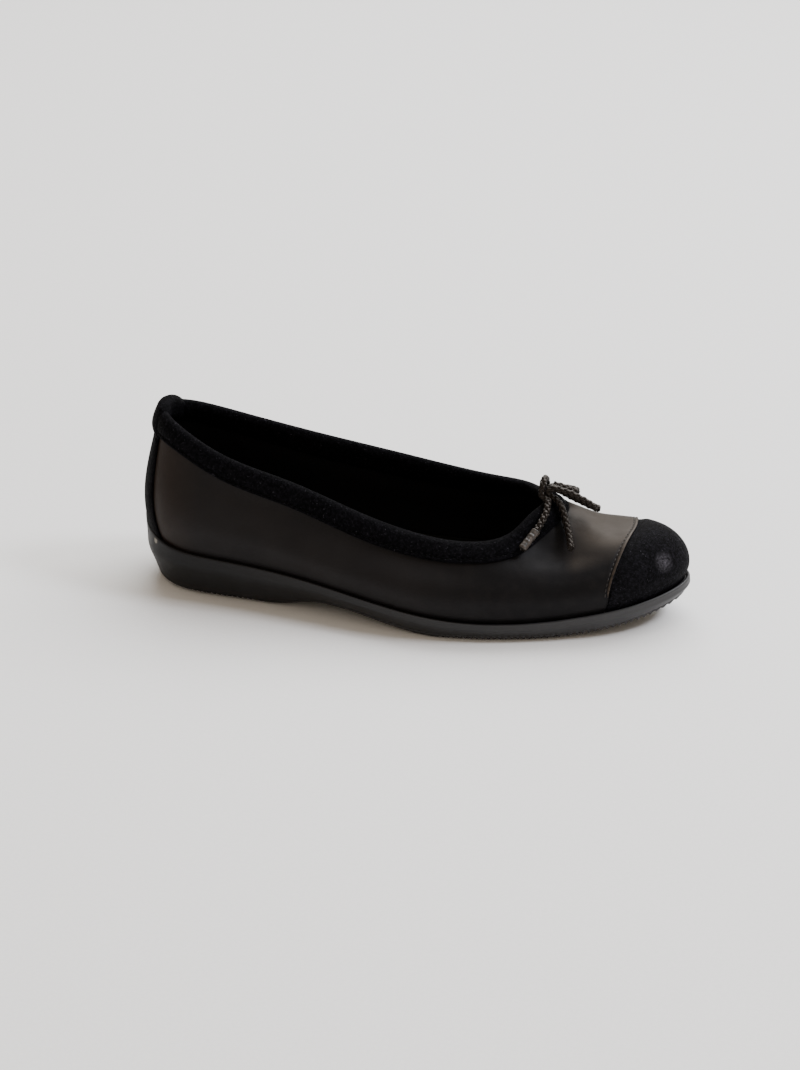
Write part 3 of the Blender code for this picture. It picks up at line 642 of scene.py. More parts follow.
def braided_cotton():
    """Waxed cotton cord: dark brown-black yarns, each with a fine twist and a dull shine."""
    settings = {"Roughness": 0.30, "IOR": 1.36, "Specular Tint": "#f4e2d4"}
    yarn = features(0.5, 4.0, 0.7)
    colours = ("#030303", "#110e0d")
    return one_pattern("waxed_cotton_cord", yarn, (0.40, 0.70), colours, relief(0.10, 0.6), settings)


def waxed_thread(name, dark, light, ior):
    """Polyester thread, waxed: fine twist, a small dull shine."""
    settings = {"Roughness": 0.55, "IOR": ior}
    return one_pattern(name, features(0.4), (0.4, 0.7), (dark, light), relief(0.05), settings)


def folded_leather():
    """Turned edge of the calf: coloured paler as a painted highlight along its fold, with a dull polish."""
    settings = {"Roughness": 0.48, "IOR": 1.42, "Specular Tint": "#f0dcc8"}
    blotches = features(1.6, 3.0, 0.65)
    colours = ("#0f0d0c", "#302924")
    return one_pattern("folded_leather_edge", blotches, (0.35, 0.68), colours, relief(0.05, 0.5), settings)


def dipped_tip():
    """Cord end dipped in resin that has rubbed pale: thin, brownish, half worn away."""
    settings = {"Roughness": 0.40, "IOR": 1.5}
    blotches = features(2.2, 4.0, 0.7)
    colours = ("#100d0b", "#4a413b")
    return one_pattern("worn_resin_tip", blotches, (0.38, 0.66), colours, relief(0.10, 0.6), settings)


def seamless_paper():
    """Pale studio paper: matt, with a barely seen tooth, drawn 1.5 mm wide so that it shows at all."""
    material, add, place = new_material("seamless_paper")
    tooth = add("TexNoise", features(1.5), {"Vector": place})
    toward = add("SeparateXYZ", None, {"Vector": place}).outputs["Y"]
    sheet = coat(add, toward, -0.8, 1.2, "#fbfbfb", "#e3e3e3")
    colour = coat(add, tooth, 0.3, 0.7, sheet, "#cfcfcf", 0.12)
    raised = add("Bump", relief(0.05, 0.2), {"Height": tooth})
    finish_material(add, {"Roughness": 0.9}, {"Base Color": colour, "Normal": raised})
    return material


# Meshes

def mesh_piece(name, points, faces, material):
    """A riding piece from points in the maker's axes, faces turned outward and shaded smooth."""
    mesh = bpy.data.meshes.new(name)
    mesh.from_pydata((np.asarray(points) + OFFSET).tolist(), [], faces)
    shell = bmesh.new()
    shell.from_mesh(mesh)
    bmesh.ops.recalc_face_normals(shell, faces=shell.faces)
    shell.to_mesh(mesh)
    shell.free()
    mesh.polygons.foreach_set("use_smooth", [True] * len(mesh.polygons))
    mesh.materials.append(material)
    piece = bpy.data.objects.new(name, mesh)
    bpy.context.scene.collection.objects.link(piece)
    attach(piece, "root")
    return piece


def grid_faces(count, width, around, closed):
    """Quads through count sections of width points.

    Around joins the last section to the first, and closed joins each section's own ends.
    """
    faces = []
    for i in range(count if around else count - 1):
        for j in range(width if closed else width - 1):
            a = i * width + j
            b = i * width + (j + 1) % width
            c = (i + 1) % count * width
            faces.append((a, b, c + (j + 1) % width, c + j))
    if closed and not around:
        faces.append(tuple(range(width)))
        faces.append(tuple(range((count - 1) * width, count * width)))
    return faces


def grid_piece(name, sections, material, around, closed=True):
    """A riding piece lofted through sections of points."""
    sections = np.asarray(sections)
    count, width = sections.shape[:2]
    return mesh_piece(name, sections.reshape(-1, 3), grid_faces(count, width, around, closed), material)


def softened(points, times):
    """Catmull-Rom curve through the points, with times steps in each span."""
    points = np.asarray(points, float)
    padded = np.concatenate([[2 * points[0] - points[1]], points, [2 * points[-1] - points[-2]]])
    out = []
    for i in range(len(points) - 1):
        p0, p1, p2, p3 = padded[i : i + 4]
        for j in range(times):
            t = j / times
            bend = (2 * p0 - 5 * p1 + 4 * p2 - p3) * t**2 + (3 * p1 - p0 - 3 * p2 + p3) * t**3
            out.append(p1 + 0.5 * ((p2 - p0) * t + bend))
    return np.array(out + [points[-1]])


def route_line(route, step):
    """Smooth line through a route's points, with a point every step."""
    points = np.array(route) + THROAT
    runs = runs_along(points)
    slopes = second_slopes(runs, points)
    count = max(8, round(runs[-1] / step))
    return on_spline(runs, points, slopes, np.linspace(0, runs[-1], count + 1))


def turning_frames(centre):
    """Two unit vectors across a line at each of its points, carried along without twist."""
    ahead = directions(centre)
    first = np.cross(ahead[0], [0.0, 0.0, 1.0])
    first /= np.linalg.norm(first)
    firsts = []
    for direction in ahead:
        first = first - direction * first.dot(direction)
        first /= np.linalg.norm(first)
        firsts.append(first)
    firsts = np.array(firsts)
    return firsts, np.cross(ahead, firsts)


def tube_points(centre, across, beside, half_across, half_beside, sides):
    """Rings of an oval tube round a line; the half sizes may differ from point to point."""
    turn = 2 * np.pi * np.arange(sides) / sides
    wide = np.reshape(half_across, (-1, 1, 1)) * np.cos(turn)[None, :, None] * across[:, None, :]
    deep = np.reshape(half_beside, (-1, 1, 1)) * np.sin(turn)[None, :, None] * beside[:, None, :]
    return centre[:, None, :] + wide + deep


def joined(parts):
    """Points and faces of several closed tubes as one mesh."""
    points, faces, start = [], [], 0
    for rings in parts:
        count, width = rings.shape[:2]
        points.append(rings.reshape(-1, 3))
        faces += [tuple(start + k for k in face) for face in grid_faces(count, width, False, True)]
        start += count * width
    return np.concatenate(points), faces


def braid(name, route, material):
    """Round braid of six strands: each passes over and under those that turn the other way."""
    centre = route_line(route, BRAID_STEP)
    first, second = turning_frames(centre)
    runs = runs_along(centre)
    thick, wide = 0.14 * CORD, 0.25 * CORD
    weave_lift = 0.075 * CORD
    middle = CORD / 2 - thick - weave_lift
    turn = 2 * np.pi * runs / BRAID_PITCH
    parts = [tube_points(centre, first, second, middle, middle, 10)]
    for way in (1, -1):
        for k in range(STRANDS):
            angle = way * turn + 2 * np.pi * k / STRANDS
            radial = first * np.cos(angle)[:, None] + second * np.sin(angle)[:, None]
            reach = middle + way * weave_lift * np.cos(STRANDS * turn)
            spots = centre + radial * reach[:, None]
            sideways = np.cross(directions(spots), radial)
            parts.append(tube_points(spots, sideways, radial, wide, thick, 7))
    points, faces = joined(parts)
    return mesh_piece(name, points, faces, material), centre


def stitch_row(name, spots, normals, material):
    """Row of short sewn stitches along a line on the shoe, each dipping into the leather at both ends."""
    runs = runs_along(spots)
    count = int(runs[-1] // (STITCH + STITCH_GAP))
    size = THREAD / 2 * STITCH_SIZE
    parts = []
    for i in range(count):
        at = i * (STITCH + STITCH_GAP) + STITCH * np.linspace(0, 1, len(STITCH_ARCH))
        centre = np.stack([np.interp(at, runs, spots[:, k]) for k in range(3)], axis=1)
        out = unit(np.stack([np.interp(at, runs, normals[:, k]) for k in range(3)], axis=1))
        centre = centre + out * (STITCH_ARCH * THREAD / 2)[:, None]
        parts.append(tube_points(centre, np.cross(directions(centre), out), out, size, size, 6))
    points, faces = joined(parts)
    return mesh_piece(name, points, faces, material)


# Upper

def seam_x(y):
    """How far along the shoe the cap's seam runs at this distance to the side."""
    share = (np.asarray(y, float) - CAP_SEAM_SIDE) / (0.6 * BALL_WIDTH)
    return LENGTH - CAP_SEAM - CAP_SEAM_SWEEP * np.abs(share) ** 1.6


def seam_crossing(u):
    """Highest place where line u crosses the seam, or 0 where it lies behind the seam."""
    ups = np.linspace(0.0, 0.6 * line_length(u), 300)
    spots = on_line(u, ups)
    ahead = spots[:, 0] - seam_x(spots[:, 1])
    if ahead.max() <= 0:
        return 0.0
    i = int(np.flatnonzero(ahead > 0)[-1]) + 1
    share = ahead[i - 1] / (ahead[i - 1] - ahead[i])
    return float(ups[i - 1] + share * (ups[i] - ups[i - 1]))


def seam_edge(before, after):
    """Ring position where the seam starts, between a line it doesn't cross and one it does."""
    for _ in range(22):
        middle = 0.5 * (before + after)
        if seam_crossing(middle) > 0.0:
            after = middle
        else:
            before = middle
    return after


SEAM_OUTER = seam_edge(0.3, 0.5)
SEAM_INNER = seam_edge(0.7, 0.5)
SEAM_FOOT = 0.0012 / RING_LENGTH  # the seam drops to the sole within this stretch


@functools.lru_cache(maxsize=None)
def seam_up(u):
    """How far up line u the cap's seam lies, or 0 behind the seam."""
    if SEAM_OUTER <= u <= SEAM_INNER:
        return seam_crossing(u)
    if SEAM_OUTER - SEAM_FOOT < u < SEAM_OUTER:
        return seam_crossing(SEAM_OUTER) * (1 - (SEAM_OUTER - u) / SEAM_FOOT)
    if SEAM_INNER < u < SEAM_INNER + SEAM_FOOT:
        return seam_crossing(SEAM_INNER) * (1 - (u - SEAM_INNER) / SEAM_FOOT)
    return 0.0


def seam_places():
    """Ring positions that follow the seam evenly where it turns down to the sole."""
    near = 0.005 / RING_LENGTH * np.linspace(0, 1, 22) ** 2
    down = SEAM_FOOT * np.linspace(0, 1, 12)
    places = np.concatenate([SEAM_OUTER + near, SEAM_OUTER - down, SEAM_INNER - near, SEAM_INNER + down])
    return [float(round(place, 9)) for place in places]


def wall_at(u, ups):
    """Thickness of the upper: skived at the collar, stiffened under the toe cap."""
    down = line_length(u) - ups
    skived = COLLAR_WALL + (WALL - COLLAR_WALL) * smooth(down, 0.5 * SKIVE_LENGTH, SKIVE_LENGTH)
    return skived + (TOE_WALL - WALL) * smooth(on_line(u, ups)[:, 0], STIFFENER_BACK, STIFFENER_FRONT)


def rim_rise(u):
    """Height of the sole's rim above its seat."""
    away = min(u % 1.0, 1 - u % 1.0) * RING_LENGTH
    return RIM_HEIGHT + RIM_BACK_RISE * math.exp(-((away / RIM_BACK_SPREAD) ** 2))


# Soft creases, listed: ring position, height up the line as a share, and half sizes along and
# up in metres, tilt in metres of drop along, and depth, where minus is a trough
CREASE_COLUMNS = ("u", "share", "half_along", "half_up", "tilt", "depth")
CREASES = (
    (0.385, 0.60, 0.014, 0.0040, 0.25, -0.00020),
    (0.398, 0.47, 0.012, 0.0040, 0.30, 0.00016),
    (0.352, 0.52, 0.016, 0.0045, 0.15, -0.00025),
    (0.330, 0.36, 0.013, 0.0035, 0.10, 0.00030),
    (0.300, 0.62, 0.016, 0.0040, 0.05, -0.00035),
    (0.255, 0.45, 0.022, 0.0050, 0.00, 0.00035),
    (0.190, 0.50, 0.024, 0.0060, -0.05, -0.00040),
    (0.120, 0.40, 0.018, 0.0060, -0.10, 0.00030),
    (0.425, 0.52, 0.010, 0.0040, 0.35, -0.00012),
    (0.545, 0.79, 0.030, 0.0120, 0.00, 0.00170),  # fullness of the vamp, over the toes
    (0.610, 0.55, 0.012, 0.0040, -0.25, -0.00018),
    (0.655, 0.45, 0.014, 0.0040, -0.15, 0.00018),
    (0.700, 0.58, 0.016, 0.0045, -0.05, -0.00025),
    (0.790, 0.48, 0.022, 0.0055, 0.00, 0.00035),
    (0.870, 0.45, 0.020, 0.0060, 0.10, -0.00035),
)


def creased(u, ups):
    """How far the leather stands out or in here, from creases, the feather line and the seam's row."""
    length = line_length(u)
    out = np.zeros(len(ups))
    for row in CREASES:
        crease = dict(zip(CREASE_COLUMNS, row))
        along = (u - crease["u"]) * RING_LENGTH
        middle = crease["share"] * length - crease["tilt"] * along
        out += crease["depth"] * hump(along, 0.0, crease["half_along"]) * hump(ups, middle, crease["half_up"])
    out -= LEATHER_FEATHER * hump(ups, rim_rise(u) + FEATHER_UP, FEATHER_HALF)
    seam = seam_up(round(u, 9))
    if SEAM_OUTER - SEAM_FOOT < u < SEAM_INNER + SEAM_FOOT:
        behind = ups - seam
        out += LAP_LIFT * (1 - smooth(behind, 0.002, 0.005))
        out -= STITCH_TROUGH * hump(behind, SEAM_STITCH, 0.00045)
        over_toe = hump((u - 0.5) * RING_LENGTH, 0.0, 0.020)
        out -= 0.00035 * (1 - smooth(behind, 0.001, 0.010)) * over_toe
    return out


# Rows of the leather, in metres up from its folded edge, close together where it laps the cap
EDGE_ROWS = np.array([
    0.00012, 0.0003, 0.0005, 0.0008, 0.0011, 0.0014, 0.0017, 0.0020, 0.0024, 0.003, 0.004, 0.005,
])
EVEN_ROWS_START = 0.0065
FOLD_ROUND = np.array([0.00025, 0.00006])  # its first two rows fall away by this


def upper_leather(material):
    """Outer leather in one shell: creased, skived, and turned under along the cap's seam."""
    sections = []
    places = sorted(set([round(u, 9) for u in ring_places(LEATHER_SECTIONS)] + seam_places()))
    for u in places:
        length = line_length(u)
        start = seam_up(u)
        even_rows = np.linspace(start + EVEN_ROWS_START, length, LEATHER_ROWS)
        rows = np.concatenate([start + EDGE_ROWS, even_rows])
        outer = creased(u, rows)
        outer[:2] -= FOLD_ROUND
        thick = LEATHER_SHARE * wall_at(u, rows)
        if start > 0.0:
            thick = np.where(rows - start < LAP_WIDTH, np.minimum(thick, LAP_THICKNESS), thick)
        inner = outer - thick
        inner_rows = rows[::3]
        edge = skin(u, [start], [0.5 * (outer[0] + inner[0])])
        points = [edge, skin(u, rows, outer), skin(u, [length + 0.0001], [-0.3 * thick[-1]])]
        points.append(skin(u, inner_rows[::-1], inner[::3][::-1]))
        sections.append(np.concatenate(points))
    piece = grid_piece("upper_leather", sections, material, True)
    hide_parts("upper")
    return piece


def upper_lining(material):
    """Cotton lining behind the leather, closer in where the cap and stiffener lie over it."""
    sections = []
    for u in ring_places(LINING_SECTIONS):
        length = line_length(u)
        rows = np.linspace(EDGE_MARGIN, length - 2 * LINING_GAP, LINING_ROWS)
        wall = wall_at(u, rows)
        outer = -LEATHER_SHARE * wall - LINING_GAP
        if seam_up(u) > 0.0:
            outer = np.minimum(outer, -LINING_UNDER_CAP)
            wall = np.maximum(wall, LINING_UNDER_CAP + 0.0004)
        sections.append(np.concatenate([skin(u, rows, outer), skin(u, rows[::-1], -wall[::-1])]))
    piece = grid_piece("upper_lining", sections, material, True)
    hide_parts("upper")
    return piece


def toe_cap_suede(material):
    """Suede cap: tucked under the vamp's edge, full over the toe, drawn in at the sole."""
    sections = []
    first, last = SEAM_OUTER - SEAM_FOOT - 0.003, SEAM_INNER + SEAM_FOOT + 0.003
    even = [round(float(u), 9) for u in np.linspace(first, last, CAP_SECTIONS)]
    places = sorted(set(even + seam_places()))
    for u in places:
        seam = seam_up(u)
        rows = np.linspace(EDGE_MARGIN, seam + CAP_TUCK, CAP_ROWS)
        ahead = smooth(seam - rows, 0.0002, 0.0045)
        above_rim = smooth(rows, rim_rise(u) + 0.001, rim_rise(u) + 0.005)
        outer = -CAP_DEPTH + (CAP_RISE + CAP_PUFF * above_rim) * ahead
        outer -= CAP_FEATHER * hump(rows, rim_rise(u) + FEATHER_UP, FEATHER_HALF)
        inner = outer[::4] - CAP_THICKNESS
        sections.append(np.concatenate([skin(u, rows, outer), skin(u, rows[::4][::-1], inner[::-1])]))
    piece = grid_piece("toe_cap_suede", sections, material, False)
    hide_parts("toe_cap")
    return piece


def along_seam(behind):
    """Line over the vamp this far behind its front edge, with the directions across it and out of it."""
    inside = [u for u in seam_places() if SEAM_OUTER < u < SEAM_INNER]
    even = np.linspace(SEAM_OUTER + 0.003, SEAM_INNER - 0.003, FOLD_SECTIONS).tolist()
    places = sorted(set(inside + even))
    edge, normals = [], []
    for u in places:
        up = seam_up(u)
        spot, normal = skin_and_normal(u, [up])
        edge.append(spot[0] + normal[0] * creased(u, np.array([up]))[0])
        normals.append(normal[0])
    edge, normals = np.array(edge), np.array(normals)
    across = np.cross(normals, directions(edge))
    across *= -np.sign(across[:, 0])[:, None]
    drop = behind**2 / (2 * TOE_RADIUS)
    return edge + across * behind - normals * drop, across, normals


def seam_stitches(thread, fold):
    """The vamp's front edge over the cap: its stitch row, and the thin bead of the fold."""
    spots, _, normals = along_seam(SEAM_STITCH)
    stitches = stitch_row("seam_stitches", spots - normals * 0.0001, normals, thread)
    spots, across, normals = along_seam(FOLD_WIDTH / 2)
    taper = np.minimum(1.0, 0.3 + 0.1 * np.minimum(np.arange(len(spots)), np.arange(len(spots))[::-1]))
    rings = tube_points(spots, across, normals, FOLD_WIDTH / 2 * taper, FOLD_THICKNESS * taper, 12)
    points, faces = joined([rings])
    piece = mesh_piece("vamp_folded_edge", points, faces, fold)


def strip_edge(side, down, length):
    """Ring position of the strip's edge this far below the collar: -1 is the inner side, 1 the outer."""
    share = np.clip(np.asarray(down, float) / length, 0.0, 1.0)
    top = side * TAB_SPREAD - TAB_LEAN
    return (top + (side * STRIP_SPREAD - top) * share) / RING_LENGTH


def binding_profile():
    """Out and down of the binding's outer face, over the collar and down inside, then its back."""
    outer = CLEARANCE + BINDING_THICKNESS
    over = -CLEARANCE - BINDING_THICKNESS - 0.3 * BINDING_PUFF
    inner = -COLLAR_WALL - CLEARANCE
    groove = BINDING_OUTSIDE - BINDING_STITCH
    face = [
        (outer - 0.0005, BINDING_OUTSIDE + 0.0001),
        (outer - 0.0001, BINDING_OUTSIDE - 0.0003),
        (outer + 0.0001, BINDING_OUTSIDE - 0.0009),
        (outer - 0.0002, groove),
        (outer + 0.0003, groove - 0.0010),
        (outer + 0.9 * BINDING_PUFF, 0.55 * BINDING_OUTSIDE),
        (outer + 1.05 * BINDING_PUFF, 0.28 * BINDING_OUTSIDE),
        (outer + 0.55 * BINDING_PUFF, 0.02 * BINDING_OUTSIDE),
        (0.25 * outer, over),
        (-COLLAR_WALL - 0.25 * outer, over),
        (inner - BINDING_THICKNESS - 0.35 * BINDING_PUFF, 0.02 * BINDING_INSIDE),
        (inner - BINDING_THICKNESS - 0.6 * BINDING_PUFF, 0.25 * BINDING_INSIDE),
        (inner - BINDING_THICKNESS - 0.2 * BINDING_PUFF, 0.70 * BINDING_INSIDE),
        (inner - BINDING_THICKNESS + 0.0003, BINDING_INSIDE),
    ]
    back = [(inner, BINDING_INSIDE - 0.0002), (inner, -CLEARANCE), (CLEARANCE, -CLEARANCE),
            (CLEARANCE, BINDING_OUTSIDE)]
    return np.concatenate([softened(face, 3), back])


def collar_binding(material, thread):
    """Padded suede binding around the collar, with its ends tucked beside the heel strip."""
    profile = binding_profile()
    back_length = line_length(0.0)
    sections, spots, normals = [], [], []
    gap = BINDING_GAP / RING_LENGTH
    for i in range(BINDING_SECTIONS + 1):
        share = i / BINDING_SECTIONS
        starts = strip_edge(1, profile[:, 1], back_length) + gap
        ends = 1 + strip_edge(-1, profile[:, 1], back_length) - gap
        pinch = float(smooth(share, 0.0, 0.02) * (1 - smooth(share, 0.98, 1.0)))
        u = ring_place(share * (1 - 2 * BINDING_START) + BINDING_START)
        if pinch == 1.0:
            sections.append(below_collar(u, profile[:, 1], profile[:, 0]))
        else:
            ends_here = starts if share < 0.5 else ends
            places = ends_here + (u - ends_here) * pinch
            sections.append([below_collar(at, [down], [out])[0] for at, (out, down) in zip(places, profile)])
        spot, normal = skin_and_normal(u, [line_length(u) - BINDING_OUTSIDE + BINDING_STITCH])
        spots.append(spot[0] + normal[0] * (CLEARANCE + BINDING_THICKNESS - 0.0001))
        normals.append(normal[0])
    piece = grid_piece("collar_binding", sections, material, False)
    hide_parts("topline_binding")
    stitches = stitch_row("binding_stitches", np.array(spots), np.array(normals), thread)


def heel_strip(material, thread):
    """Suede strip over the back seam: it rolls over the collar as a soft tab, and turns inside."""
    sections = []
    length = line_length(0.0)
    edges = {-1: [], 1: []}
    for i in range(STRIP_SECTIONS + 1):
        side = 2 * i / STRIP_SECTIONS - 1
        pad = TAB_PAD * (1 - abs(side) ** 3) * (1 - TAB_TILT * side)
        away = side * STRIP_SPREAD / RING_LENGTH
        base = line_length(away) - rim_rise(away) - 2 * CLEARANCE
        round_off = 0.0005 * smooth(abs(side), 0.93, 1.0)
        row = STITCH_TROUGH * hump((1 - abs(side)) * STRIP_SPREAD, STRIP_STITCH, 0.0006)
        face = CLEARANCE + STRIP_THICKNESS - round_off - row
        inner = -COLLAR_WALL - CLEARANCE
        lining = inner - STRIP_THICKNESS
        lower = SKIVE_LENGTH + (base - SKIVE_LENGTH) * np.arange(7) / 6
        front = [(face, down) for down in lower[1:][::-1]] + [(face, lower[0])]
        # Out and down: the neck below the tab, the roll, over the top, and down inside
        roll = [
            (face + 0.02 * pad, 1.35 * BINDING_OUTSIDE),
            (face + 0.06 * pad, 1.16 * BINDING_OUTSIDE),
            (face + 0.62 * pad, 1.02 * BINDING_OUTSIDE),
            (face + 1.00 * pad, 0.80 * BINDING_OUTSIDE),
            (face + 1.05 * pad, 0.45 * BINDING_OUTSIDE),
            (face + 0.88 * pad, 0.1 * BINDING_OUTSIDE),
            (face + 0.45 * pad, -0.0010 - 0.75 * pad),
            (-0.5 * COLLAR_WALL, -0.0014 - 1.15 * pad),
            (lining - 0.5 * pad, -0.0010 - 0.65 * pad),
            (lining - 0.85 * pad, 0.25 * TAB_INSIDE),
            (lining - 0.6 * pad, 0.65 * TAB_INSIDE),
            (lining, TAB_INSIDE),
        ]
        back = [(inner, TAB_INSIDE), (inner, -CLEARANCE), (CLEARANCE, -CLEARANCE)]
        back += [(CLEARANCE, down) for down in lower]
        profile = np.concatenate([softened(front + roll, 3), back])
        left = strip_edge(-1, profile[:, 1], length)
        right = strip_edge(1, profile[:, 1], length)
        us = left + (right - left) * i / STRIP_SECTIONS
        sections.append([below_collar(u, [down], [out])[0] for u, (out, down) in zip(us, profile)])
    for way in (-1, 1):
        for down in np.linspace(0.006, length - RIM_HEIGHT - 0.001, STRIP_STITCH_SPOTS):
            edge = float(strip_edge(way, down, length))
            u = edge - way * STRIP_STITCH / RING_LENGTH
            spot, normal = skin_and_normal(u, [line_length(u) - down])
            pad = TAB_PAD * 0.25 * (1 - float(smooth(down, 0.006, 0.014)))
            edges[way].append((spot[0] + normal[0] * (STRIP_THICKNESS + pad), normal[0]))
    piece = grid_piece("heel_strip_suede", sections, material, False)
    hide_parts("heel_strip")
    for way, name in ((-1, "inner_strip_stitches"), (1, "outer_strip_stitches")):
        spots, normals = zip(*edges[way])
        stitch_row(name, np.array(spots), np.array(normals), thread)


# Sole

def undercut(x):
    """How far the foot of the sole's wall stands inside its top edge."""
    share = float(smooth(x, UNDERCUT_CHANGE, FOREFOOT_START))
    return UNDERCUT_HEEL + (UNDERCUT_FOREPART - UNDERCUT_HEEL) * share


def rib_height(x):
    """How far the tread is cut away here: cross ribs under the heel and the forepart."""
    saw = 0.5 - 0.5 * np.cos(2 * np.pi * np.asarray(x, float) / RIB_PITCH)
    heel = smooth(x, 0.012, 0.018) * (1 - smooth(x, HEEL_END - 0.006, HEEL_END))
    fore = smooth(x, FOREFOOT_START - 0.006, FOREFOOT_START + 0.004)
    toe_margin = smooth(x, LENGTH - 0.006, LENGTH - 0.002)
    return RIB_DEPTH * np.clip(1.5 * saw, 0.0, 1.0) * (heel + fore * (1 - toe_margin))


def sole_rings(count):
    """Sections of the sole's wall, from the seat's edge over the rim and down to the tread."""
    sections = []
    for i in range(count):
        u = ring_place(i / count)
        foot = on_line(u, 0.0)[0]
        rise = rim_rise(u)
        ground = float(tread(foot[0]))
        depth = foot[2] - ground
        outside = CLEARANCE + RIM_THICKNESS
        under = undercut(foot[0])
        step = ground + min(WELT_HEIGHT, 0.45 * depth)
        back = (rise - RIM_HEIGHT) / RIM_BACK_RISE  # 1 at the very back, 0 along the sides
        rim = skin(u, [rise - 0.0004], [outside])[0]
        if foot[2] + rise - rim[2] > 0.5 * rise:
            rim[2] = foot[2] + rise - 0.0004
        inside = [
            foot_outward(u, [CLEARANCE], [foot[2]])[0],
            skin(u, [0.5 * rise], [CLEARANCE])[0],
            skin(u, [rise - 0.0003], [CLEARANCE + 0.0002])[0],
            skin(u, [rise + 0.0001], [0.5 * outside])[0],
            skin(u, [rise + 0.0001], [0.75 * outside])[0],
            rim,
        ]
        bulge = 0.0004 * back
        welt = outside - 0.45 * under
        high, middle, low_wall = foot_outward(
            u,
            [outside + 0.0004 + bulge, outside - 0.20 * under + bulge, welt],
            [ground + 0.75 * depth, ground + 0.45 * depth + 0.0003, step + 0.0005])
        upper_wall = softened([rim, (rim + high) / 2, high, middle, low_wall], 4)[1:]
        lip = foot_outward(
            u,
            [welt - 0.0001, welt - WELT_STEP, welt - WELT_STEP],
            [step + 0.0002, step + 0.0001, step - 0.0004])
        cut = float(rib_height(foot[0]))
        low = foot_outward(
            u,
            [outside - 0.56 * under, outside - 0.66 * under, outside - 0.74 * under - 0.0002,
             outside - under - 0.0006],
            [ground + 0.0014, ground + 0.0009, ground + 0.0003 + cut, ground + cut])
        low[:2, 2] = np.maximum(low[:2, 2], ground + 0.0006 + cut)
        sections.append(np.concatenate([inside, upper_wall, lip, low]))
    return sections


def laddered(sections, row, height_at, rungs, start):
    """Points and faces that close the ring at this row of the sections with rungs across the shoe."""
    count, width = sections.shape[:2]
    half = count // 2
    points, faces, ladder = [], [], []
    for i in range(half + 1):
        left = i * width + row
        if i in (0, half):
            ladder.append([left])
            continue
        right = (count - i) * width + row
        a, b = sections[i, row], sections[count - i, row]
        names = [left]
        for j in range(1, rungs):
            spot = a + (b - a) * j / rungs
            spot[2] = height_at(spot[0])
            names.append(start + len(points))
            points.append(spot)
        ladder.append(names + [right])
    for first, second in zip(ladder, ladder[1:]):
        if len(first) == 1 or len(second) == 1:
            tip, rest = (first[0], second) if len(first) == 1 else (second[0], first)
            faces += [(tip, a, b) for a, b in zip(rest, rest[1:])]
            continue
        faces += [(first[j], first[j + 1], second[j + 1], second[j]) for j in range(rungs)]
    return points, faces


def filled_piece(name, sections, first_height, last_height, rungs, material):
    """A ring of sections, filled across the shoe at its first and last rows, at these heights."""
    sections = np.array(sections)
    count, width = sections.shape[:2]
    faces = grid_faces(count, width, True, False)
    points = [sections.reshape(-1, 3)]
    start = count * width
    for row, height_at in ((0, first_height), (width - 1, last_height)):
        more, ladder = laddered(sections, row, height_at, rungs, start)
        points.append(np.array(more))
        faces += ladder
        start += len(more)
    return mesh_piece(name, np.concatenate(points), faces, material)


def rubber_sole(material):
    """Cup sole in one moulding: rim, wall, lip, undercut heel and arch, and the ribbed tread."""
    def seat_at(x):
        return float(seat([x])[0])

    def tread_at(x):
        return float(tread(x) + rib_height(x))

    sections = sole_rings(SOLE_SECTIONS)
    piece = filled_piece("rubber_sole", sections, seat_at, tread_at, SOLE_RUNGS, material)
    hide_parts("outsole")


def insole_sock(material):
    """Cotton-covered sock with a rolled edge, on the seat of the sole."""
    sections = []
    for u in ring_places(SOCK_SECTIONS):
        foot = on_line(u, 0.0)[0]
        toe = float(smooth(foot[0], STIFFENER_BACK - INSOLE_LEAD, STIFFENER_FRONT))
        back = WALL + CLEARANCE + (TOE_WALL - WALL) * toe
        low = foot[2] + CLEARANCE
        high = low + INSOLE_THICKNESS
        sections.append(foot_outward(
            u, [-back - 0.0030, -back - 0.0012, -back - 0.0004, -back, -back],
            [high, high - 0.0002, high - 0.0006, high - 0.0012, low]))

    def face_at(x):
        return float(seat([x])[0]) + (CLEARANCE + INSOLE_THICKNESS)

    def back_at(x):
        return float(seat([x])[0]) + CLEARANCE

    piece = filled_piece("insole_sock", sections, face_at, back_at, SOCK_RUNGS, material)
    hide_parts("insole")


# Bow

def bow(cord_material, tip_material):
    """Two braided cords tied at the throat, one of them with a worn resin tip."""
    front_route = CHANNEL_EXIT + OUTER_LOOP + TURN_TO_FRONT_END + FRONT_END
    knot_route = INNER_LOOP + KNOT + OUTER_END
    front, front_centre = braid("bow_front_cord", front_route, cord_material)
    knot, knot_centre = braid("bow_knot_cord", knot_route, cord_material)
    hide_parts("bow_loop_outer", "bow_end_front")
    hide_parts("bow_loop_inner", "bow_knot", "bow_end_outer")
    tip = resin_tip(knot_centre, tip_material)


def resin_tip(centre, material):
    """Thin worn sleeve over the outer end, open and hollow at its tip."""
    count = int(np.searchsorted(runs_along(centre[::-1]), TIP_LENGTH))
    run = centre[-count:]
    first, second = turning_frames(run)
    share = np.linspace(0, 1, len(run))
    # Two waves along the sleeve make it lumpy, as brushed-on resin is
    lump = 0.00006 * np.sin(share * 23) + 0.00005 * np.sin(share * 41 + 1)
    radius = CORD / 2 + 0.00012 - 0.00010 * share + lump
    outer = tube_points(run, first, second, radius, radius, 20)
    deep = slice(-6, None)
    bore = 0.72 * radius[deep]
    inner = tube_points(run[deep], first[deep], second[deep], bore, bore, 20)
    points, faces = joined([np.concatenate([outer, inner[::-1]])])
    piece = mesh_piece("bow_tip", points, faces, material)
    return piece


# Studio

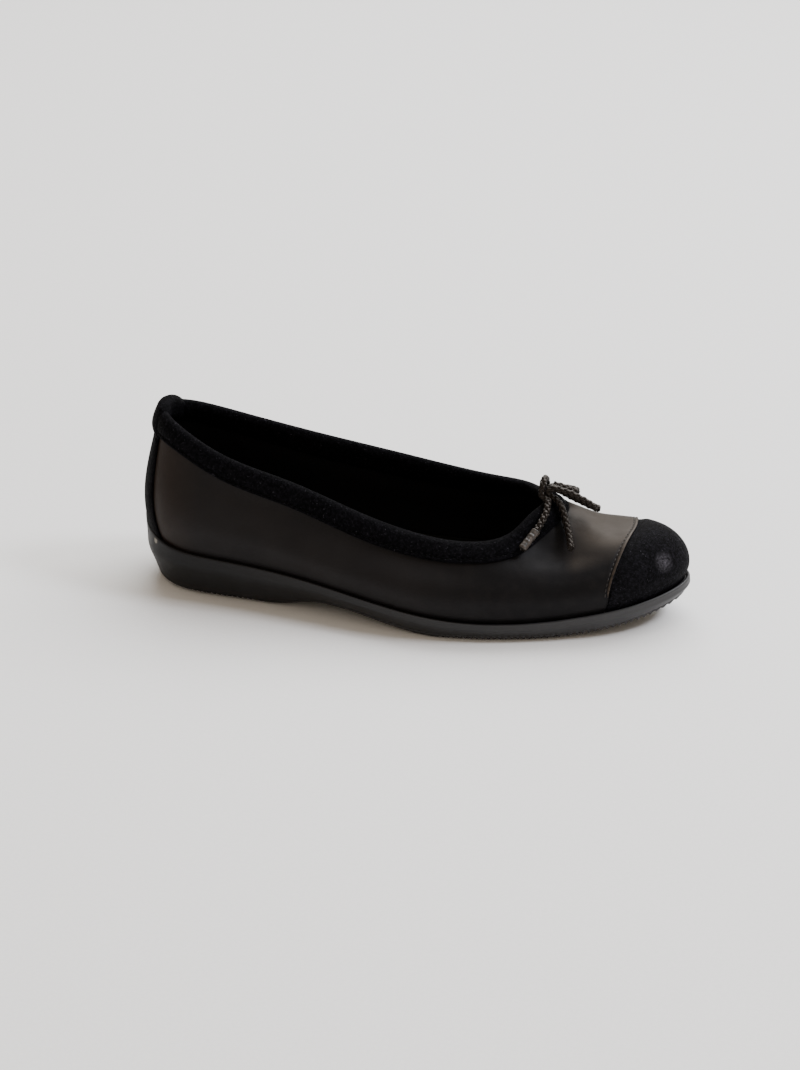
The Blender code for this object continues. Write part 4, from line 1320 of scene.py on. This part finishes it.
def area_light(name, spot, aim, size, power, colour):
    """Softbox at a spot, turned to its aim; size in metres and power in watts."""
    data = bpy.data.lights.new(name, "AREA")
    data.shape = "RECTANGLE"
    data.size, data.size_y = size
    data.energy = power
    data.color = linear(colour)[:3]
    light = bpy.data.objects.new(name, data)
    light.location = spot
    light.rotation_euler = (Vector(aim) - Vector(spot)).to_track_quat("-Z", "Y").to_euler()
    bpy.context.scene.collection.objects.link(light)


def studio(paper):
    """Pale paper under an even sky, a large softbox behind and a small one beyond the toe."""
    half = 6.0
    mesh = bpy.data.meshes.new("floor")
    corners = [(-half, -half, 0.0), (half, -half, 0.0), (half, half, 0.0), (-half, half, 0.0)]
    mesh.from_pydata(corners, [], [(0, 1, 2, 3)])
    mesh.materials.append(paper)
    floor = bpy.data.objects.new("floor", mesh)
    bpy.context.scene.collection.objects.link(floor)
    world = bpy.data.worlds.new("studio_air")
    world.use_nodes = True
    world.node_tree.nodes["Background"].inputs["Color"].default_value = linear("#ffeed9")
    world.node_tree.nodes["Background"].inputs["Strength"].default_value = 0.55
    bpy.context.scene.world = world
    area_light("back_softbox", (0.35, 1.35, 1.75), (0.0, -0.2, 0.0), (3.0, 1.8), 109.0, "#fbfdff")
    area_light("toe_side_key", (1.22, 0.12, 1.36), (0.0, 0.0, 0.03), (0.45, 0.45), 20.0, "#f2f6ff")


place_camera()
cord_finish = braided_cotton()
bow(cord_finish, dipped_tip())

seam_thread = waxed_thread("seam_thread", "#12100f", "#342e2a", 1.42)
black_thread = waxed_thread("black_thread", "#020202", "#08080a", 1.16)
cap_finish = napped_suede("cap_suede", "#18171c", 0.4)
suede_finish = napped_suede("trim_suede", "#111014", 0.22)
leather_finish = calf_leather()
upper_leather(leather_finish)
upper_lining(woven_lining("black_cotton_lining", "#07070a", "#0d0d12"))
toe_cap_suede(cap_finish)
seam_stitches(seam_thread, folded_leather())
collar_binding(suede_finish, black_thread)
heel_strip(suede_finish, black_thread)
rubber_sole(moulded_rubber())
insole_sock(woven_lining("insole_cotton", "#040405", "#0a0a0c"))
studio(seamless_paper())
